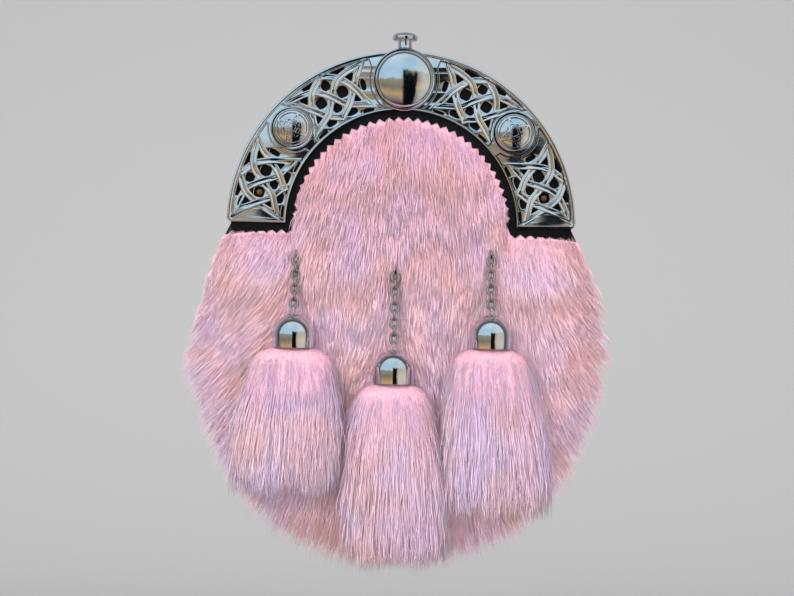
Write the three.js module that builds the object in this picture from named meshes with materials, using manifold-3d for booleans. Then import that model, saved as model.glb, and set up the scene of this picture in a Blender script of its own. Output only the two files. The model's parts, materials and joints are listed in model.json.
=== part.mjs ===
// A full dress sporran: a fur-fronted leather pouch with a pierced metal cantle and three fur
// tassels on chains. Millimetres, +Z up, +X to the right of whoever looks at it, the front facing
// -Y. Everything is first placed about the middle of the cantle's lower edge, and the whole is
// then moved so that the origin lies on the line of the belt strap.
import * as THREE from "three";
import { mergeVertices } from "three/addons/utils/BufferGeometryUtils.js";
import Module from "manifold-3d";

const wasm = await Module();
wasm.setup();

// Sizes of the cantle
const CANTLE_OUTER_R = 78.3;
const CANTLE_BAND = 26.5;
const PLATE_THICK = 2.2;
const RIM_WIDTH = 1.9;
const RIM_RISE = 0.6;
const SKIRT_WALL = 1.5;
const SKIRT_DEPTH = 7.5;
const STRAP_WIDTH = 2.9;
const STRAP_RISE = 0.35;
const WEAVE_RISE = 0.3;

// Sizes of the leather
const LEATHER = 2.0;
const BACK_LEATHER = 2.5;
const MOUTH_GAP = 11.2;
const BOTTOM_SWELL = 6;
const HIDE_BULGE = 6;
const FACING_PRESS = 6;
const BODY_FLARE = 11;
const BODY_DROP = 138.5;
const BODY_SQUARENESS = 2.2;
const FACING_BORDER = 2.6;
const TOOTH_DEPTH = 1.9;
const TOOTH_PITCH = 4.4;

// Sizes of the fur
const FUR_DEEP = 7;
const FUR_EDGE = 3;
const FUR_PRESSED = 2.5;
const FUR_OVERHANG = 3;
const HEM_LENGTH = 11;
const LOCK_LENGTH = 34;
const LOCK_WIDTH = 27;
const LOCK_RISE = 2.2;
// How the locks lie. Pitch, stagger and spread are shares, the fans are degrees at the widest place.
const LOCK_ROW_PITCH = 0.9;
const LOCK_STAGGER = 0.2;
const LOCK_SPREAD = 0.88;
const LOCK_FAN = 16;
const HEM_LOCKS = 18;
const HEM_ROOT = 0.3;
const HEM_SHORT = 0.7;
const HEM_FAN = 42;

// Sizes of the metal trimmings
const CENTRE_BOSS_R = 12.6;
const SIDE_BOSS_R = 8.3;
const BOSS_FLANGE = 1.4;
const BOSS_FLANGE_THICK = 0.9;
const BOSS_DOME_FOOT = 1.2;
const BOSS_DOME_SHARE = 0.34;
const KNOB_HEAD_R = 5.6;
const KNOB_STEM_R = 3.2;
const KNOB_HEIGHT = 8.2;
const KNOB_FOOT_FLARE = 0.9;
const KNOB_FOOT = 1.2;
const KNOB_HEAD = 3.6;
const RIVET_R = 1.5;
const RIVET_HEIGHT = 1.1;
const LINK_WIRE = 0.85;
const LINK_LENGTH = 5.4;
const LINK_WIDTH = 3.8;
const EYE_RING_R = 1.9;
const EYE_WIRE = 0.9;
const BELL_R = 9.2;
const BELL_HEIGHT = 14.8;
const BELL_WALL = 0.9;
const BELL_LIP = 0.5;
const TASSEL_HALF_DEPTH = 12.5;
const TASSEL_LOCKS = 9;
const TASSEL_TIP = 5;

// Sizes of the belt loops
const LOOP_WIDTH = 16;
const LOOP_SPAN = 30;
const LOOP_FOOT = 7;
const LOOP_ROOM = 5.2;
const LOOP_OFFSET = 42;
const LOOP_HEIGHT = 31;
const LOOP_EASE = 1;

// Clearances between separate pieces
const GAP = 0.3;
const LINK_GAP = 0.12;

// Depths, worked out from the back of the pouch to its front
const cantleInnerR = CANTLE_OUTER_R - CANTLE_BAND;
const archR = CANTLE_OUTER_R - SKIRT_WALL - GAP;
const hideTopDepth = BACK_LEATHER + MOUTH_GAP;
const facingBack = hideTopDepth + LEATHER + GAP;
const facingFront = facingBack + LEATHER;
const plateBack = facingFront + GAP;
const plateFace = plateBack + PLATE_THICK;
const teethTipR = cantleInnerR - FACING_BORDER - TOOTH_DEPTH;
const facingBottom = -FACING_BORDER - TOOTH_DEPTH;

// The knot: one strand that crosses itself seven times, drawn in a square from -1 to 1 whose u
// runs round the cantle and whose v runs outwards. Two curves and their mirror images make it.
const KNOT_MID_R = cantleInnerR + 0.513 * CANTLE_BAND;
const KNOT_HALF_R = 0.357 * CANTLE_BAND;
const KNOT_CROSSING_V = 0.66;
const KNOT_DIAGONAL = [[1, 1], [0.52, 0.77], [0.27, 0.56], [0, 0], [-0.27, -0.56], [-0.52, -0.77], [-1, -1]];
const KNOT_EDGE = [[-1, -1], [-0.83, -0.55], [-0.64, 0.05], [-0.38, 0.66], [0, 1.1]];
const KNOT_STRANDS = [
  { curve: KNOT_DIAGONAL, steps: 8, mirrorU: 1, mirrorV: 1 },
  { curve: KNOT_DIAGONAL, steps: 8, mirrorU: -1, mirrorV: 1 },
  { curve: KNOT_EDGE, steps: 5, mirrorU: 1, mirrorV: 1 },
  { curve: KNOT_EDGE, steps: 5, mirrorU: -1, mirrorV: 1 },
  { curve: KNOT_EDGE, steps: 5, mirrorU: 1, mirrorV: -1 },
  { curve: KNOT_EDGE, steps: 5, mirrorU: -1, mirrorV: -1 },
];
// The angle of each knot's middle from the top of the cantle, and half of what it spans.
const KNOT_PANELS = [
  { middle: 29.7, half: 14.4 },
  { middle: 73.5, half: 13.2 },
];
// The opening behind a knot, in its u and v. Its two ends bow with the square of v.
const KNOT_WINDOW = {
  low: -1.22, high: 1.14, nearEnd: 0.95, nearBow: 0.07, farEnd: -0.74, farBow: -0.26, steps: 4,
};
const SIDE_BOSS_ANGLE = 49.5;
const RIVET_ANGLE = 77.8;

// Each tassel hangs on its own chain: x and z of the eye that carries it, its number of links,
// the tassel's length and greatest half width, and how far its end hangs to one side.
const TASSELS = [
  { name: "left", x: -46.5, z: -13.9, links: 7, length: 64, halfWidth: 23.5, slant: -3 },
  { name: "centre", x: -2.0, z: -20.0, links: 9, length: 80, halfWidth: 22, slant: 3.5 },
  { name: "right", x: 40.6, z: -12.3, links: 7, length: 74, halfWidth: 22, slant: 6 },
];

const materials = {
  chrome: new THREE.MeshStandardMaterial({ color: 0xc9ccd0, roughness: 0.08, metalness: 1 }),
  brass: new THREE.MeshStandardMaterial({ color: 0xb08a5a, roughness: 0.3, metalness: 1 }),
  leather: new THREE.MeshStandardMaterial({ color: 0x16151a, roughness: 0.5, metalness: 0 }),
  fur: new THREE.MeshStandardMaterial({ color: 0xdfb3bf, roughness: 0.9, metalness: 0 }),
  tasselFur: new THREE.MeshStandardMaterial({ color: 0xe3bccb, roughness: 0.9, metalness: 0 }),
};

const radians = THREE.MathUtils.degToRad;
const clamp01 = (t) => Math.min(1, Math.max(0, t));
const smooth = (t) => clamp01(t) ** 2 * (3 - 2 * clamp01(t));
const point = (x, y, z) => new THREE.Vector3(x, y, z);

// A triangle mesh as a geometry, turned so that its faces point out.
function closedGeometry(vertices, triangles) {
  let volume = 0;
  for (const [a, b, c] of triangles) {
    volume += vertices[a].dot(vertices[b].clone().cross(vertices[c]));
  }
  const faces = volume < 0 ? triangles.map(([a, b, c]) => [a, c, b]) : triangles;
  const geometry = new THREE.BufferGeometry().setFromPoints(vertices);
  geometry.setIndex(faces.flat());
  geometry.computeVertexNormals();
  return geometry;
}

// Joins rings of equally many points. The two ends are capped, unless the rings form a loop.
// A cap is cut into triangles from the flat outline of its section.
function loft(rings, { loop = false, section = null } = {}) {
  const sides = rings[0].length;
  const vertices = rings.flat();
  const triangles = [];
  const spans = loop ? rings.length : rings.length - 1;
  for (let i = 0; i < spans; i++) {
    const here = i * sides;
    const next = ((i + 1) % rings.length) * sides;
    for (let k = 0; k < sides; k++) {
      const m = (k + 1) % sides;
      triangles.push([here + k, next + k, next + m], [here + k, next + m, here + m]);
    }
  }
  if (!loop) {
    const last = (rings.length - 1) * sides;
    const outline = section ?? rings[0].map((_, k) => {
      const turn = (2 * Math.PI * k) / sides;
      return new THREE.Vector2(Math.cos(turn), Math.sin(turn));
    });
    for (const [a, b, c] of THREE.ShapeUtils.triangulateShape(outline, [])) {
      const forward = THREE.ShapeUtils.isClockWise(outline) ? [a, b, c] : [a, c, b];
      triangles.push([...forward].reverse(), forward.map((k) => last + k));
    }
  }
  return closedGeometry(vertices, triangles);
}

function toSolid(geometry) {
  const plain = new THREE.BufferGeometry();
  const source = geometry.index ? geometry.toNonIndexed() : geometry;
  plain.setAttribute("position", source.getAttribute("position").clone());
  const merged = mergeVertices(plain, 1e-4);
  const vertProperties = merged.getAttribute("position").array;
  const triVerts = new Uint32Array(merged.index.array);
  return new wasm.Manifold(new wasm.Mesh({ numProp: 3, vertProperties, triVerts }));
}

function toGeometry(solid) {
  const mesh = solid.getMesh();
  const geometry = new THREE.BufferGeometry();
  geometry.setAttribute("position", new THREE.BufferAttribute(mesh.vertProperties, 3));
  geometry.setIndex(new THREE.BufferAttribute(mesh.triVerts, 1));
  geometry.computeVertexNormals();
  return geometry;
}

const fuse = (geometries) => wasm.Manifold.union(geometries.map(toSolid));

function piece(name, geometry, material) {
  const mesh = new THREE.Mesh(geometry, material);
  mesh.name = name;
  return mesh;
}

// A flat sheet with the outline drawn in X and Z, from one depth in front of the back to another.
function flatSheet(outline, nearDepth, farDepth) {
  const shape = new THREE.Shape(outline.map(([x, z]) => new THREE.Vector2(x, z)));
  const geometry = new THREE.ExtrudeGeometry(shape, { depth: farDepth - nearDepth, bevelEnabled: false });
  return geometry.rotateX(Math.PI / 2).translate(0, -nearDepth, 0);
}

// A round piece turned about an axis. The profile's pairs are a radius and a height.
function turned(profile, sides) {
  return new THREE.LatheGeometry(profile.map(([r, h]) => new THREE.Vector2(r, h)), sides);
}

// The pouch's outline below the cantle is a squarish ellipse that meets the arch's two ends.
const bodyHalfWidth = archR + BODY_FLARE;
const bodyRise = (1 - (archR / bodyHalfWidth) ** BODY_SQUARENESS) ** (1 / BODY_SQUARENESS);
const bodyMiddle = (-BODY_DROP * bodyRise) / (1 + bodyRise);
const bodyHalfHeight = BODY_DROP + bodyMiddle;

function bodyPoint(turn, grow = 0) {
  const c = Math.cos(turn);
  const s = Math.sin(turn);
  const power = 2 / BODY_SQUARENESS;
  const x = (bodyHalfWidth + grow) * Math.sign(c) * Math.abs(c) ** power;
  const z = bodyMiddle + (bodyHalfHeight + grow) * Math.sign(s) * Math.abs(s) ** power;
  return [x, z];
}

const shoulderTurn = Math.asin((-bodyMiddle / bodyHalfHeight) ** (BODY_SQUARENESS / 2));

// Points round the lower edge, from the right end of the arch down and up to its left end.
function lowerEdge(steps, grow = 0) {
  return Array.from({ length: steps + 1 }, (_, i) => {
    const turn = shoulderTurn - ((Math.PI + 2 * shoulderTurn) * i) / steps;
    return bodyPoint(turn, grow);
  });
}

function arc(radius, fromDegrees, toDegrees, steps) {
  return Array.from({ length: steps + 1 }, (_, i) => {
    const a = radians(fromDegrees + ((toDegrees - fromDegrees) * i) / steps);
    return [radius * Math.sin(a), radius * Math.cos(a)];
  });
}

// The whole outline of the pouch: the arch behind the cantle, then the lower edge.
const OUTLINE_ARCH = 9;
const OUTLINE_LOWER = 19;
const outlineGrown = (grow) => {
  return [...arc(archR + grow, -90, 90, OUTLINE_ARCH).slice(1, -1), ...lowerEdge(OUTLINE_LOWER, grow)];
};
const pouchOutline = outlineGrown(0);

// How far a place lies from the flat leather facing, inside the arch or below its ends.
function clearOfFacing(x, z) {
  if (z > 0) return Math.max(0, teethTipR - Math.hypot(x, z));
  return Math.hypot(Math.max(0, teethTipR - Math.abs(x)), Math.max(0, facingBottom - z));
}

// How far the hide's inner face stands in front of the back of the pouch. It is flat behind the
// cantle, gets deeper towards the bottom, and bulges in the middle.
function hideDepth(x, z) {
  const swell = BOTTOM_SWELL * smooth(-z / BODY_DROP);
  const across = x / bodyHalfWidth;
  const along = (z - bodyMiddle) / bodyHalfHeight;
  const dome = Math.max(0, 1 - across ** 2 - along ** 2);
  const free = smooth((clearOfFacing(x, z) - FACING_PRESS) / (0.25 * archR));
  return hideTopDepth + swell + HIDE_BULGE * Math.sqrt(dome) * free;
}

// A sheet over an outline, made of shrunken copies of it, with a front and a back depth.
function domedSheet(outline, middle, shares, backDepth, frontDepth) {
  const [cx, cz] = middle;
  const places = shares.flatMap((share) => {
    return outline.map(([x, z]) => [cx + share * (x - cx), cz + share * (z - cz)]);
  });
  places.push(middle);
  const layer = (depth) => places.map(([x, z]) => point(x, -depth(x, z), z));
  const vertices = [...layer(backDepth), ...layer(frontDepth)];
  const front = places.length;
  const sides = outline.length;
  const triangles = [];
  const rim = (k) => k % sides;
  for (let k = 0; k < sides; k++) {
    for (let i = 0; i + 1 < shares.length; i++) {
      const [a, b] = [i * sides + k, i * sides + rim(k + 1)];
      const [c, d] = [a + sides, b + sides];
      triangles.push([a, b, d], [a, d, c]);
      triangles.push([front + a, front + d, front + b], [front + a, front + c, front + d]);
    }
    const inner = (shares.length - 1) * sides;
    const [a, b, centre] = [inner + k, inner + rim(k + 1), places.length - 1];
    triangles.push([a, b, centre], [front + a, front + centre, front + b]);
    triangles.push([k, front + k, front + rim(k + 1)], [k, front + rim(k + 1), rim(k + 1)]);
  }
  return closedGeometry(vertices, triangles);
}

function backPanel() {
  const flat = (depth) => () => depth;
  const geometry = domedSheet(pouchOutline, [0, bodyMiddle], [1], flat(0), flat(BACK_LEATHER));
  return piece("back_panel", geometry, materials.leather);
}

const hideFront = (x, z) => hideDepth(x, z) + LEATHER;
const PANEL_SHARES = [1, 0.76, 0.52, 0.27];

// Where the facing lies, with room round it: everything outside its inner and lower edges.
function facingRoom(nearDepth, farDepth) {
  const wide = archR + 2 * FUR_OVERHANG;
  const inner = teethTipR - GAP;
  const low = facingBottom - GAP;
  const outline = [[-wide, low], [-wide, wide], [wide, wide], [wide, low], [inner, low]];
  outline.push(...arc(inner, 90, -90, 16), [-inner, low]);
  return flatSheet(outline, nearDepth, farDepth);
}

// The room that the pouch takes up, with a clearance, for what lies on it to be cut to.
function pouchForm() {
  const front = (x, z) => hideFront(x, z) + GAP;
  return domedSheet(outlineGrown(GAP), [0, bodyMiddle], PANEL_SHARES, () => 0, front);
}

// The hide that carries the fur: the front wall of the pocket, pressed flat under the facing.
function frontPanel() {
  const sheet = domedSheet(pouchOutline, [0, bodyMiddle], PANEL_SHARES, hideDepth, hideFront);
  const room = facingRoom(facingBack - GAP, facingFront + HIDE_BULGE);
  return piece("front_panel", toGeometry(toSolid(sheet).subtract(toSolid(room))), materials.leather);
}

// The strip of leather round the sides and bottom, between the back panel and the front one.
function sideGusset() {
  const inner = lowerEdge(OUTLINE_LOWER, -LEATHER);
  const rings = lowerEdge(OUTLINE_LOWER).map(([x, z], i) => {
    const [ix, iz] = inner[i];
    const near = BACK_LEATHER + GAP;
    const far = hideDepth(x, z) - GAP;
    return [point(x, -near, z), point(x, -far, z), point(ix, -far, iz), point(ix, -near, iz)];
  });
  return piece("side_gusset", loft(rings), materials.leather);
}

// The horseshoe of black leather under the cantle, its inner and lower edges cut with pinking shears.
function leatherFacing() {
  const valleyR = teethTipR + TOOTH_DEPTH;
  const teethRound = Math.round((Math.PI * valleyR) / TOOTH_PITCH);
  const teethAcross = Math.round((archR - valleyR) / TOOTH_PITCH);
  const outline = arc(archR, -90, 90, 2 * OUTLINE_ARCH);
  for (let i = 0; i <= 2 * teethAcross; i++) {
    const x = archR + ((valleyR - archR) * i) / (2 * teethAcross);
    outline.push([x, i % 2 ? facingBottom : facingBottom + TOOTH_DEPTH]);
  }
  for (let i = 1; i < 2 * teethRound; i++) {
    const a = Math.PI / 2 - (Math.PI * i) / (2 * teethRound);
    const r = i % 2 ? teethTipR : valleyR;
    outline.push([r * Math.sin(a), r * Math.cos(a)]);
  }
  for (let i = 2 * teethAcross; i >= 0; i--) {
    const x = archR + ((valleyR - archR) * i) / (2 * teethAcross);
    outline.push([-x, i % 2 ? facingBottom : facingBottom + TOOTH_DEPTH]);
  }
  return piece("leather_facing", flatSheet(outline, facingBack, facingFront), materials.leather);
}

// A place on a knot panel, as X and Z. Side is 1 on the right half of the cantle and -1 on the left.
function knotPlace(panel, side, u, v) {
  const a = radians(side * (panel.middle - u * panel.half));
  const r = KNOT_MID_R + v * KNOT_HALF_R;
  return [r * Math.sin(a), r * Math.cos(a)];
}

// A raised strip along places on the cantle's face, down to the back of its plate.
function strip(places, width, rise) {
  const rings = places.map(([x, z], i) => {
    const before = places[Math.max(0, i - 1)];
    const after = places[Math.min(places.length - 1, i + 1)];
    const [dx, dz] = [after[0] - before[0], after[1] - before[1]];
    const scale = width / 2 / Math.hypot(dx, dz);
    const [nx, nz] = [-dz * scale, dx * scale];
    const top = -plateFace - rise(i);
    const back = -plateBack - GAP / 2;
    const [left, right] = [[x + nx, z + nz], [x - nx, z - nz]];
    const corner = ([px, pz], y) => point(px, y, pz);
    return [corner(left, back), corner(left, top), corner(right, top), corner(right, back)];
  });
  return loft(rings);
}

function knotStrand(strand, panel, side) {
  const line = new THREE.CatmullRomCurve3(strand.curve.map(([u, v]) => point(u, v, 0)));
  const along = line.getSpacedPoints(strand.steps);
  const places = along.map((p) => knotPlace(panel, side, strand.mirrorU * p.x, strand.mirrorV * p.y));
  const turn = strand.curve === KNOT_DIAGONAL ? strand.mirrorU : strand.mirrorU * strand.mirrorV;
  const weave = (i) => -turn * Math.cos((Math.PI * along[i].y) / KNOT_CROSSING_V);
  return strip(places, STRAP_WIDTH, (i) => STRAP_RISE + WEAVE_RISE * weave(i));
}

// The opening cut in the plate behind each knot.
function knotWindow(panel, side) {
  const { low, high, steps } = KNOT_WINDOW;
  const nearEnd = (v) => KNOT_WINDOW.nearEnd + KNOT_WINDOW.nearBow * v * v;
  const farEnd = (v) => KNOT_WINDOW.farEnd + KNOT_WINDOW.farBow * v * v;
  const between = (from, to, i) => from + ((to - from) * i) / steps;
  const near = [];
  const top = [];
  const far = [];
  const bottom = [];
  for (let i = 0; i < steps; i++) {
    near.push([nearEnd(between(low, high, i)), between(low, high, i)]);
    top.push([between(nearEnd(high), farEnd(high), i), high]);
    far.push([farEnd(between(high, low, i)), between(high, low, i)]);
    bottom.push([between(farEnd(low), nearEnd(low), i), low]);
  }
  const outline = [...near, ...top, ...far, ...bottom].map(([u, v]) => knotPlace(panel, side, u, v));
  return flatSheet(outline, plateBack - GAP, plateFace + 2 * RIM_RISE);
}

// The cast metal arch: a plate with a rim along both edges and a skirt that folds back over the
// leather, cut through behind four knots whose strands cross over and under each other.
function cantle() {
  const crest = plateFace + RIM_RISE;
  const section = [
    [cantleInnerR, plateBack],
    [CANTLE_OUTER_R - SKIRT_WALL, plateBack],
    [CANTLE_OUTER_R - SKIRT_WALL, plateFace - SKIRT_DEPTH],
    [CANTLE_OUTER_R, plateFace - SKIRT_DEPTH],
    [CANTLE_OUTER_R, plateFace - PLATE_THICK / 2],
    [CANTLE_OUTER_R - RIM_WIDTH / 2, crest],
    [CANTLE_OUTER_R - RIM_WIDTH, crest],
    [CANTLE_OUTER_R - RIM_WIDTH - RIM_RISE / 2, plateFace],
    [cantleInnerR + RIM_WIDTH, plateFace],
    [cantleInnerR + RIM_WIDTH - RIM_RISE / 2, crest],
    [cantleInnerR + RIM_WIDTH / 3, crest],
    [cantleInnerR, plateFace - PLATE_THICK / 4],
  ];
  const steps = 26;
  const rings = Array.from({ length: steps + 1 }, (_, i) => {
    const a = Math.PI * (i / steps - 0.5);
    return section.map(([r, depth]) => point(r * Math.sin(a), -depth, r * Math.cos(a)));
  });
  const flatSection = section.map(([r, depth]) => new THREE.Vector2(r, depth));
  const plate = toSolid(loft(rings, { section: flatSection }));
  const cuts = [];
  const straps = [];
  for (const side of [-1, 1]) {
    for (const panel of KNOT_PANELS) {
      cuts.push(knotWindow(panel, side));
      straps.push(...KNOT_STRANDS.map((strand) => knotStrand(strand, panel, side)));
    }
  }
  return piece("cantle", toGeometry(plate.subtract(fuse(cuts)).add(fuse(straps))), materials.chrome);
}

const panel = frontPanel();

// How far the hide's faceted front stands in front of the back of the pouch.
function hideSeat(x, z) {
  const ray = new THREE.Raycaster(point(x, -2 * BODY_DROP, z), point(0, 1, 0));
  return -ray.intersectObject(panel)[0].point.y;
}

// A place on the cantle's face: an angle from the top and a distance from its middle.
function onCantle(degrees, radius) {
  const a = radians(degrees);
  return [radius * Math.sin(a), radius * Math.cos(a)];
}

// A polished dome on a stepped flange.
function boss(name, radius, degrees, sides) {
  const rise = BOSS_DOME_SHARE * radius;
  const edge = radius + BOSS_FLANGE;
  const profile = [[0, 0], [edge, 0], [edge, BOSS_FLANGE_THICK], [radius, BOSS_DOME_FOOT]];
  const steps = 5;
  for (let i = 1; i <= steps; i++) {
    const a = (Math.PI / 2) * (i / steps);
    profile.push([i === steps ? 0 : radius * Math.cos(a), BOSS_DOME_FOOT + rise * Math.sin(a)]);
  }
  const [x, z] = onCantle(degrees, KNOT_MID_R);
  const seat = plateFace + RIM_RISE + GAP;
  const geometry = turned(profile, sides).rotateX(Math.PI).translate(x, -seat, z);
  return piece(name, geometry, materials.chrome);
}

// The mushroom stud on top of the cantle.
function cantleKnob() {
  const footR = KNOB_STEM_R + KNOB_FOOT_FLARE;
  const under = KNOB_HEIGHT - KNOB_HEAD;
  const profile = [[0, 0], [footR, 0], [footR, 0.7 * KNOB_FOOT], [KNOB_STEM_R, KNOB_FOOT]];
  profile.push([KNOB_STEM_R, under], [0.95 * KNOB_HEAD_R, under], [KNOB_HEAD_R, under + 0.14 * KNOB_HEAD]);
  profile.push([KNOB_HEAD_R, under + 0.45 * KNOB_HEAD], [0.7 * KNOB_HEAD_R, KNOB_HEIGHT - 0.14 * KNOB_HEAD]);
  profile.push([0, KNOB_HEIGHT]);
  const geometry = turned(profile, 12).rotateX(Math.PI / 2);
  geometry.translate(0, -(plateFace - SKIRT_DEPTH / 2), CANTLE_OUTER_R + 1.5 * GAP);
  return piece("cantle_knob", geometry, materials.chrome);
}

// The small fixing that shows through one hole of each lower knot, seated on the facing.
function fixingRivet(name, side) {
  const [x, z] = onCantle(side * RIVET_ANGLE, KNOT_MID_R);
  const profile = [[0, 0], [RIVET_R, 0], [RIVET_R, 0.45 * RIVET_HEIGHT]];
  profile.push([0.6 * RIVET_R, 0.9 * RIVET_HEIGHT], [0, RIVET_HEIGHT]);
  const geometry = turned(profile, 8).rotateX(Math.PI).translate(x, -facingFront - GAP / 2, z);
  return piece(name, geometry, materials.brass);
}

// Wire bent round an oval, half its length along Z and half its width along X.
function wireOval(halfLength, halfWidth, wire, steps, sides) {
  const rings = Array.from({ length: steps }, (_, i) => {
    const a = (2 * Math.PI * i) / steps;
    const straight = halfLength - halfWidth;
    const end = Math.abs(Math.cos(a)) < 1e-9 ? 0 : Math.sign(Math.cos(a)) * straight;
    const middle = point(halfWidth * Math.sin(a), 0, halfWidth * Math.cos(a) + end);
    const out = point(Math.sin(a), 0, Math.cos(a));
    return Array.from({ length: sides }, (_, k) => {
      const b = (2 * Math.PI * (k + 0.5)) / sides;
      const side = point(0, (wire / 2) * Math.sin(b), 0);
      return middle.clone().addScaledVector(out, (wire / 2) * Math.cos(b)).add(side);
    });
  });
  return loft(rings, { loop: true });
}

const eyeReach = EYE_RING_R + LINK_LENGTH / 2 - LINK_WIRE / 2 - (EYE_WIRE + LINK_WIRE) / 2 - LINK_GAP;
const linkPitch = LINK_LENGTH - 2 * LINK_WIRE - LINK_GAP;

// Where a chain's eye, links and bell eye lie. The chain leans out as far as its bell, which
// rests on the pressed fur lower down, holds it.
function chainRoute(row) {
  const length = 2 * eyeReach + (row.links - 1) * linkPitch;
  const start = hideSeat(row.x, row.z) + FUR_EDGE + EYE_RING_R;
  let drop = length;
  let lean = 0;
  for (let round = 0; round < 4; round++) {
    const low = row.z - drop - BELL_HEIGHT;
    const rest = Math.max(hideSeat(row.x, low), hideSeat(row.x, low + BELL_HEIGHT));
    lean = Math.asin((rest + FUR_PRESSED + BELL_R + 2 * GAP - start) / length);
    drop = length * Math.cos(lean);
  }
  const along = point(0, -Math.sin(lean), -Math.cos(lean));
  const eye = point(row.x, -start, row.z);
  const links = Array.from({ length: row.links }, (_, i) => {
    return eye.clone().addScaledVector(along, eyeReach + i * linkPitch);
  });
  const bellEye = eye.clone().addScaledVector(along, length);
  const bellTop = bellEye.clone().add(point(0, 0, -EYE_RING_R));
  return { ...row, linkCount: row.links, lean, eye, links, bellEye, bellTop };
}

const drops = TASSELS.map(chainRoute);

// The plain split eye that holds a chain: a foot on the hide, a stem and a ring.
function staple({ name, eye }) {
  const footR = 2 * EYE_WIRE;
  const seat = hideSeat(eye.x, eye.z) - LEATHER;
  const foot = 2 * LEATHER;
  const reach = -eye.y - EYE_RING_R - EYE_WIRE / 2 - seat;
  const stemR = EYE_WIRE / 2;
  const profile = [[0, 0], [footR, 0], [footR, foot], [stemR, foot], [stemR, reach + stemR]];
  profile.push([0, reach + stemR]);
  const stem = turned(profile, 6).rotateX(Math.PI).translate(eye.x, -seat, eye.z);
  const ring = wireOval(EYE_RING_R, EYE_RING_R, EYE_WIRE, 8, 5).rotateZ(Math.PI / 2);
  ring.translate(eye.x, eye.y, eye.z);
  const solid = fuse([stem, ring]).subtract(toSolid(pouchForm()));
  return piece(`staple_${name}`, toGeometry(solid), materials.chrome);
}

function chainLinks({ name, lean, links }) {
  return links.map((middle, i) => {
    const half = (LINK_LENGTH - LINK_WIRE) / 2;
    const link = wireOval(half, (LINK_WIDTH - LINK_WIRE) / 2, LINK_WIRE, 10, 5);
    link.rotateZ(i % 2 ? Math.PI / 2 : 0).rotateX(-lean);
    link.translate(middle.x, middle.y, middle.z);
    return piece(`chain_${name}_link_${i + 1}`, link, materials.chrome);
  });
}

// A hollow round-topped cap with a lip, and an eye on top turned across the last link.
function bell({ name, lean, bellEye, bellTop, linkCount }) {
  const profile = [];
  const steps = 4;
  for (let i = 0; i <= steps; i++) {
    const a = (Math.PI / 2) * (i / steps);
    profile.push([BELL_R * Math.sin(a), BELL_R * (Math.cos(a) - 1)]);
  }
  const foot = -BELL_HEIGHT;
  profile.push([BELL_R, foot + 1.2], [BELL_R + BELL_LIP, foot + 0.8], [BELL_R + BELL_LIP, foot]);
  profile.push([BELL_R - BELL_WALL, foot]);
  for (let i = 2; i >= 0; i--) {
    const a = (Math.PI / 2) * (i / 2);
    const r = BELL_R - BELL_WALL;
    profile.push([r * Math.sin(a), r * Math.cos(a) - BELL_R]);
  }
  const cap = turned(profile.reverse(), 11).rotateX(Math.PI / 2).translate(bellTop.x, bellTop.y, bellTop.z);
  const ring = wireOval(EYE_RING_R + EYE_WIRE / 4, EYE_RING_R, EYE_WIRE, 8, 5);
  ring.rotateZ(linkCount % 2 ? Math.PI / 2 : 0).rotateX(-lean / 2);
  ring.translate(bellEye.x, bellEye.y, bellEye.z - EYE_WIRE / 4);
  return piece(`bell_${name}`, toGeometry(fuse([cap, ring])), materials.chrome);
}

// How a tassel's width grows from its head, inside the bell, to its shoulders and its brush end.
// In the bell, the shares are of the bell's height and of its room, and below it of the tassel's
// length and half width. The furrow says how deep the valleys between its locks are.
const HEAD_END = 0.03;
const FURROW_DEPTH = 0.07;
const TASSEL_FORM = [
  { along: -0.6, wide: 0.6, furrow: 0 },
  { along: -0.3, wide: 0.95, furrow: 0 },
  { along: 0.03, wide: 0.95, furrow: 0 },
  { along: 0.05, wide: 0.64, furrow: 0.3 },
  { along: 0.16, wide: 0.84, furrow: 0.6 },
  { along: 0.45, wide: 0.97, furrow: 0.8 },
  { along: 0.75, wide: 1.0, furrow: 1 },
  { along: 0.93, wide: 0.86, furrow: 1.4 },
];

// A brush of long fur hanging from its bell, resting on the pressed fur of the pouch, with locks
// round it that end in points. Grow makes it larger all round.
function tasselForm(row, grow = 0) {
  const head = row.bellTop.clone().add(point(0, 0, -BELL_HEIGHT));
  const neck = BELL_R - BELL_WALL - GAP;
  const sides = 2 * TASSEL_LOCKS;
  const rings = TASSEL_FORM.map(({ along, wide, furrow }, i) => {
    const inBell = along <= HEAD_END;
    const halfX = (inBell ? neck * wide : row.halfWidth * wide) + grow;
    const halfY = (inBell ? neck * wide : TASSEL_HALF_DEPTH * wide) + grow;
    const z = head.z - along * (inBell ? BELL_HEIGHT : row.length);
    const middle = head.x + row.slant * Math.max(0, along);
    const rest = Math.max(...[-0.6, 0, 0.6].map((share) => hideFront(middle + share * halfX, z)));
    const resting = rest + FUR_PRESSED + 3 * GAP + halfY;
    const depth = inBell ? -head.y : Math.max(-head.y, resting);
    const isEnd = i === TASSEL_FORM.length - 1;
    return Array.from({ length: sides }, (_, k) => {
      const a = (2 * Math.PI * k) / sides;
      const valley = k % 2 ? 1 - FURROW_DEPTH * furrow : 1;
      const tip = isEnd && k % 2 === 0 ? TASSEL_TIP : 0;
      return point(middle + halfX * valley * Math.sin(a), -depth - halfY * valley * Math.cos(a), z - tip);
    });
  });
  return loft(rings);
}

function tassel(row) {
  return piece(`tassel_${row.name}`, tasselForm(row), materials.tasselFur);
}

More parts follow.
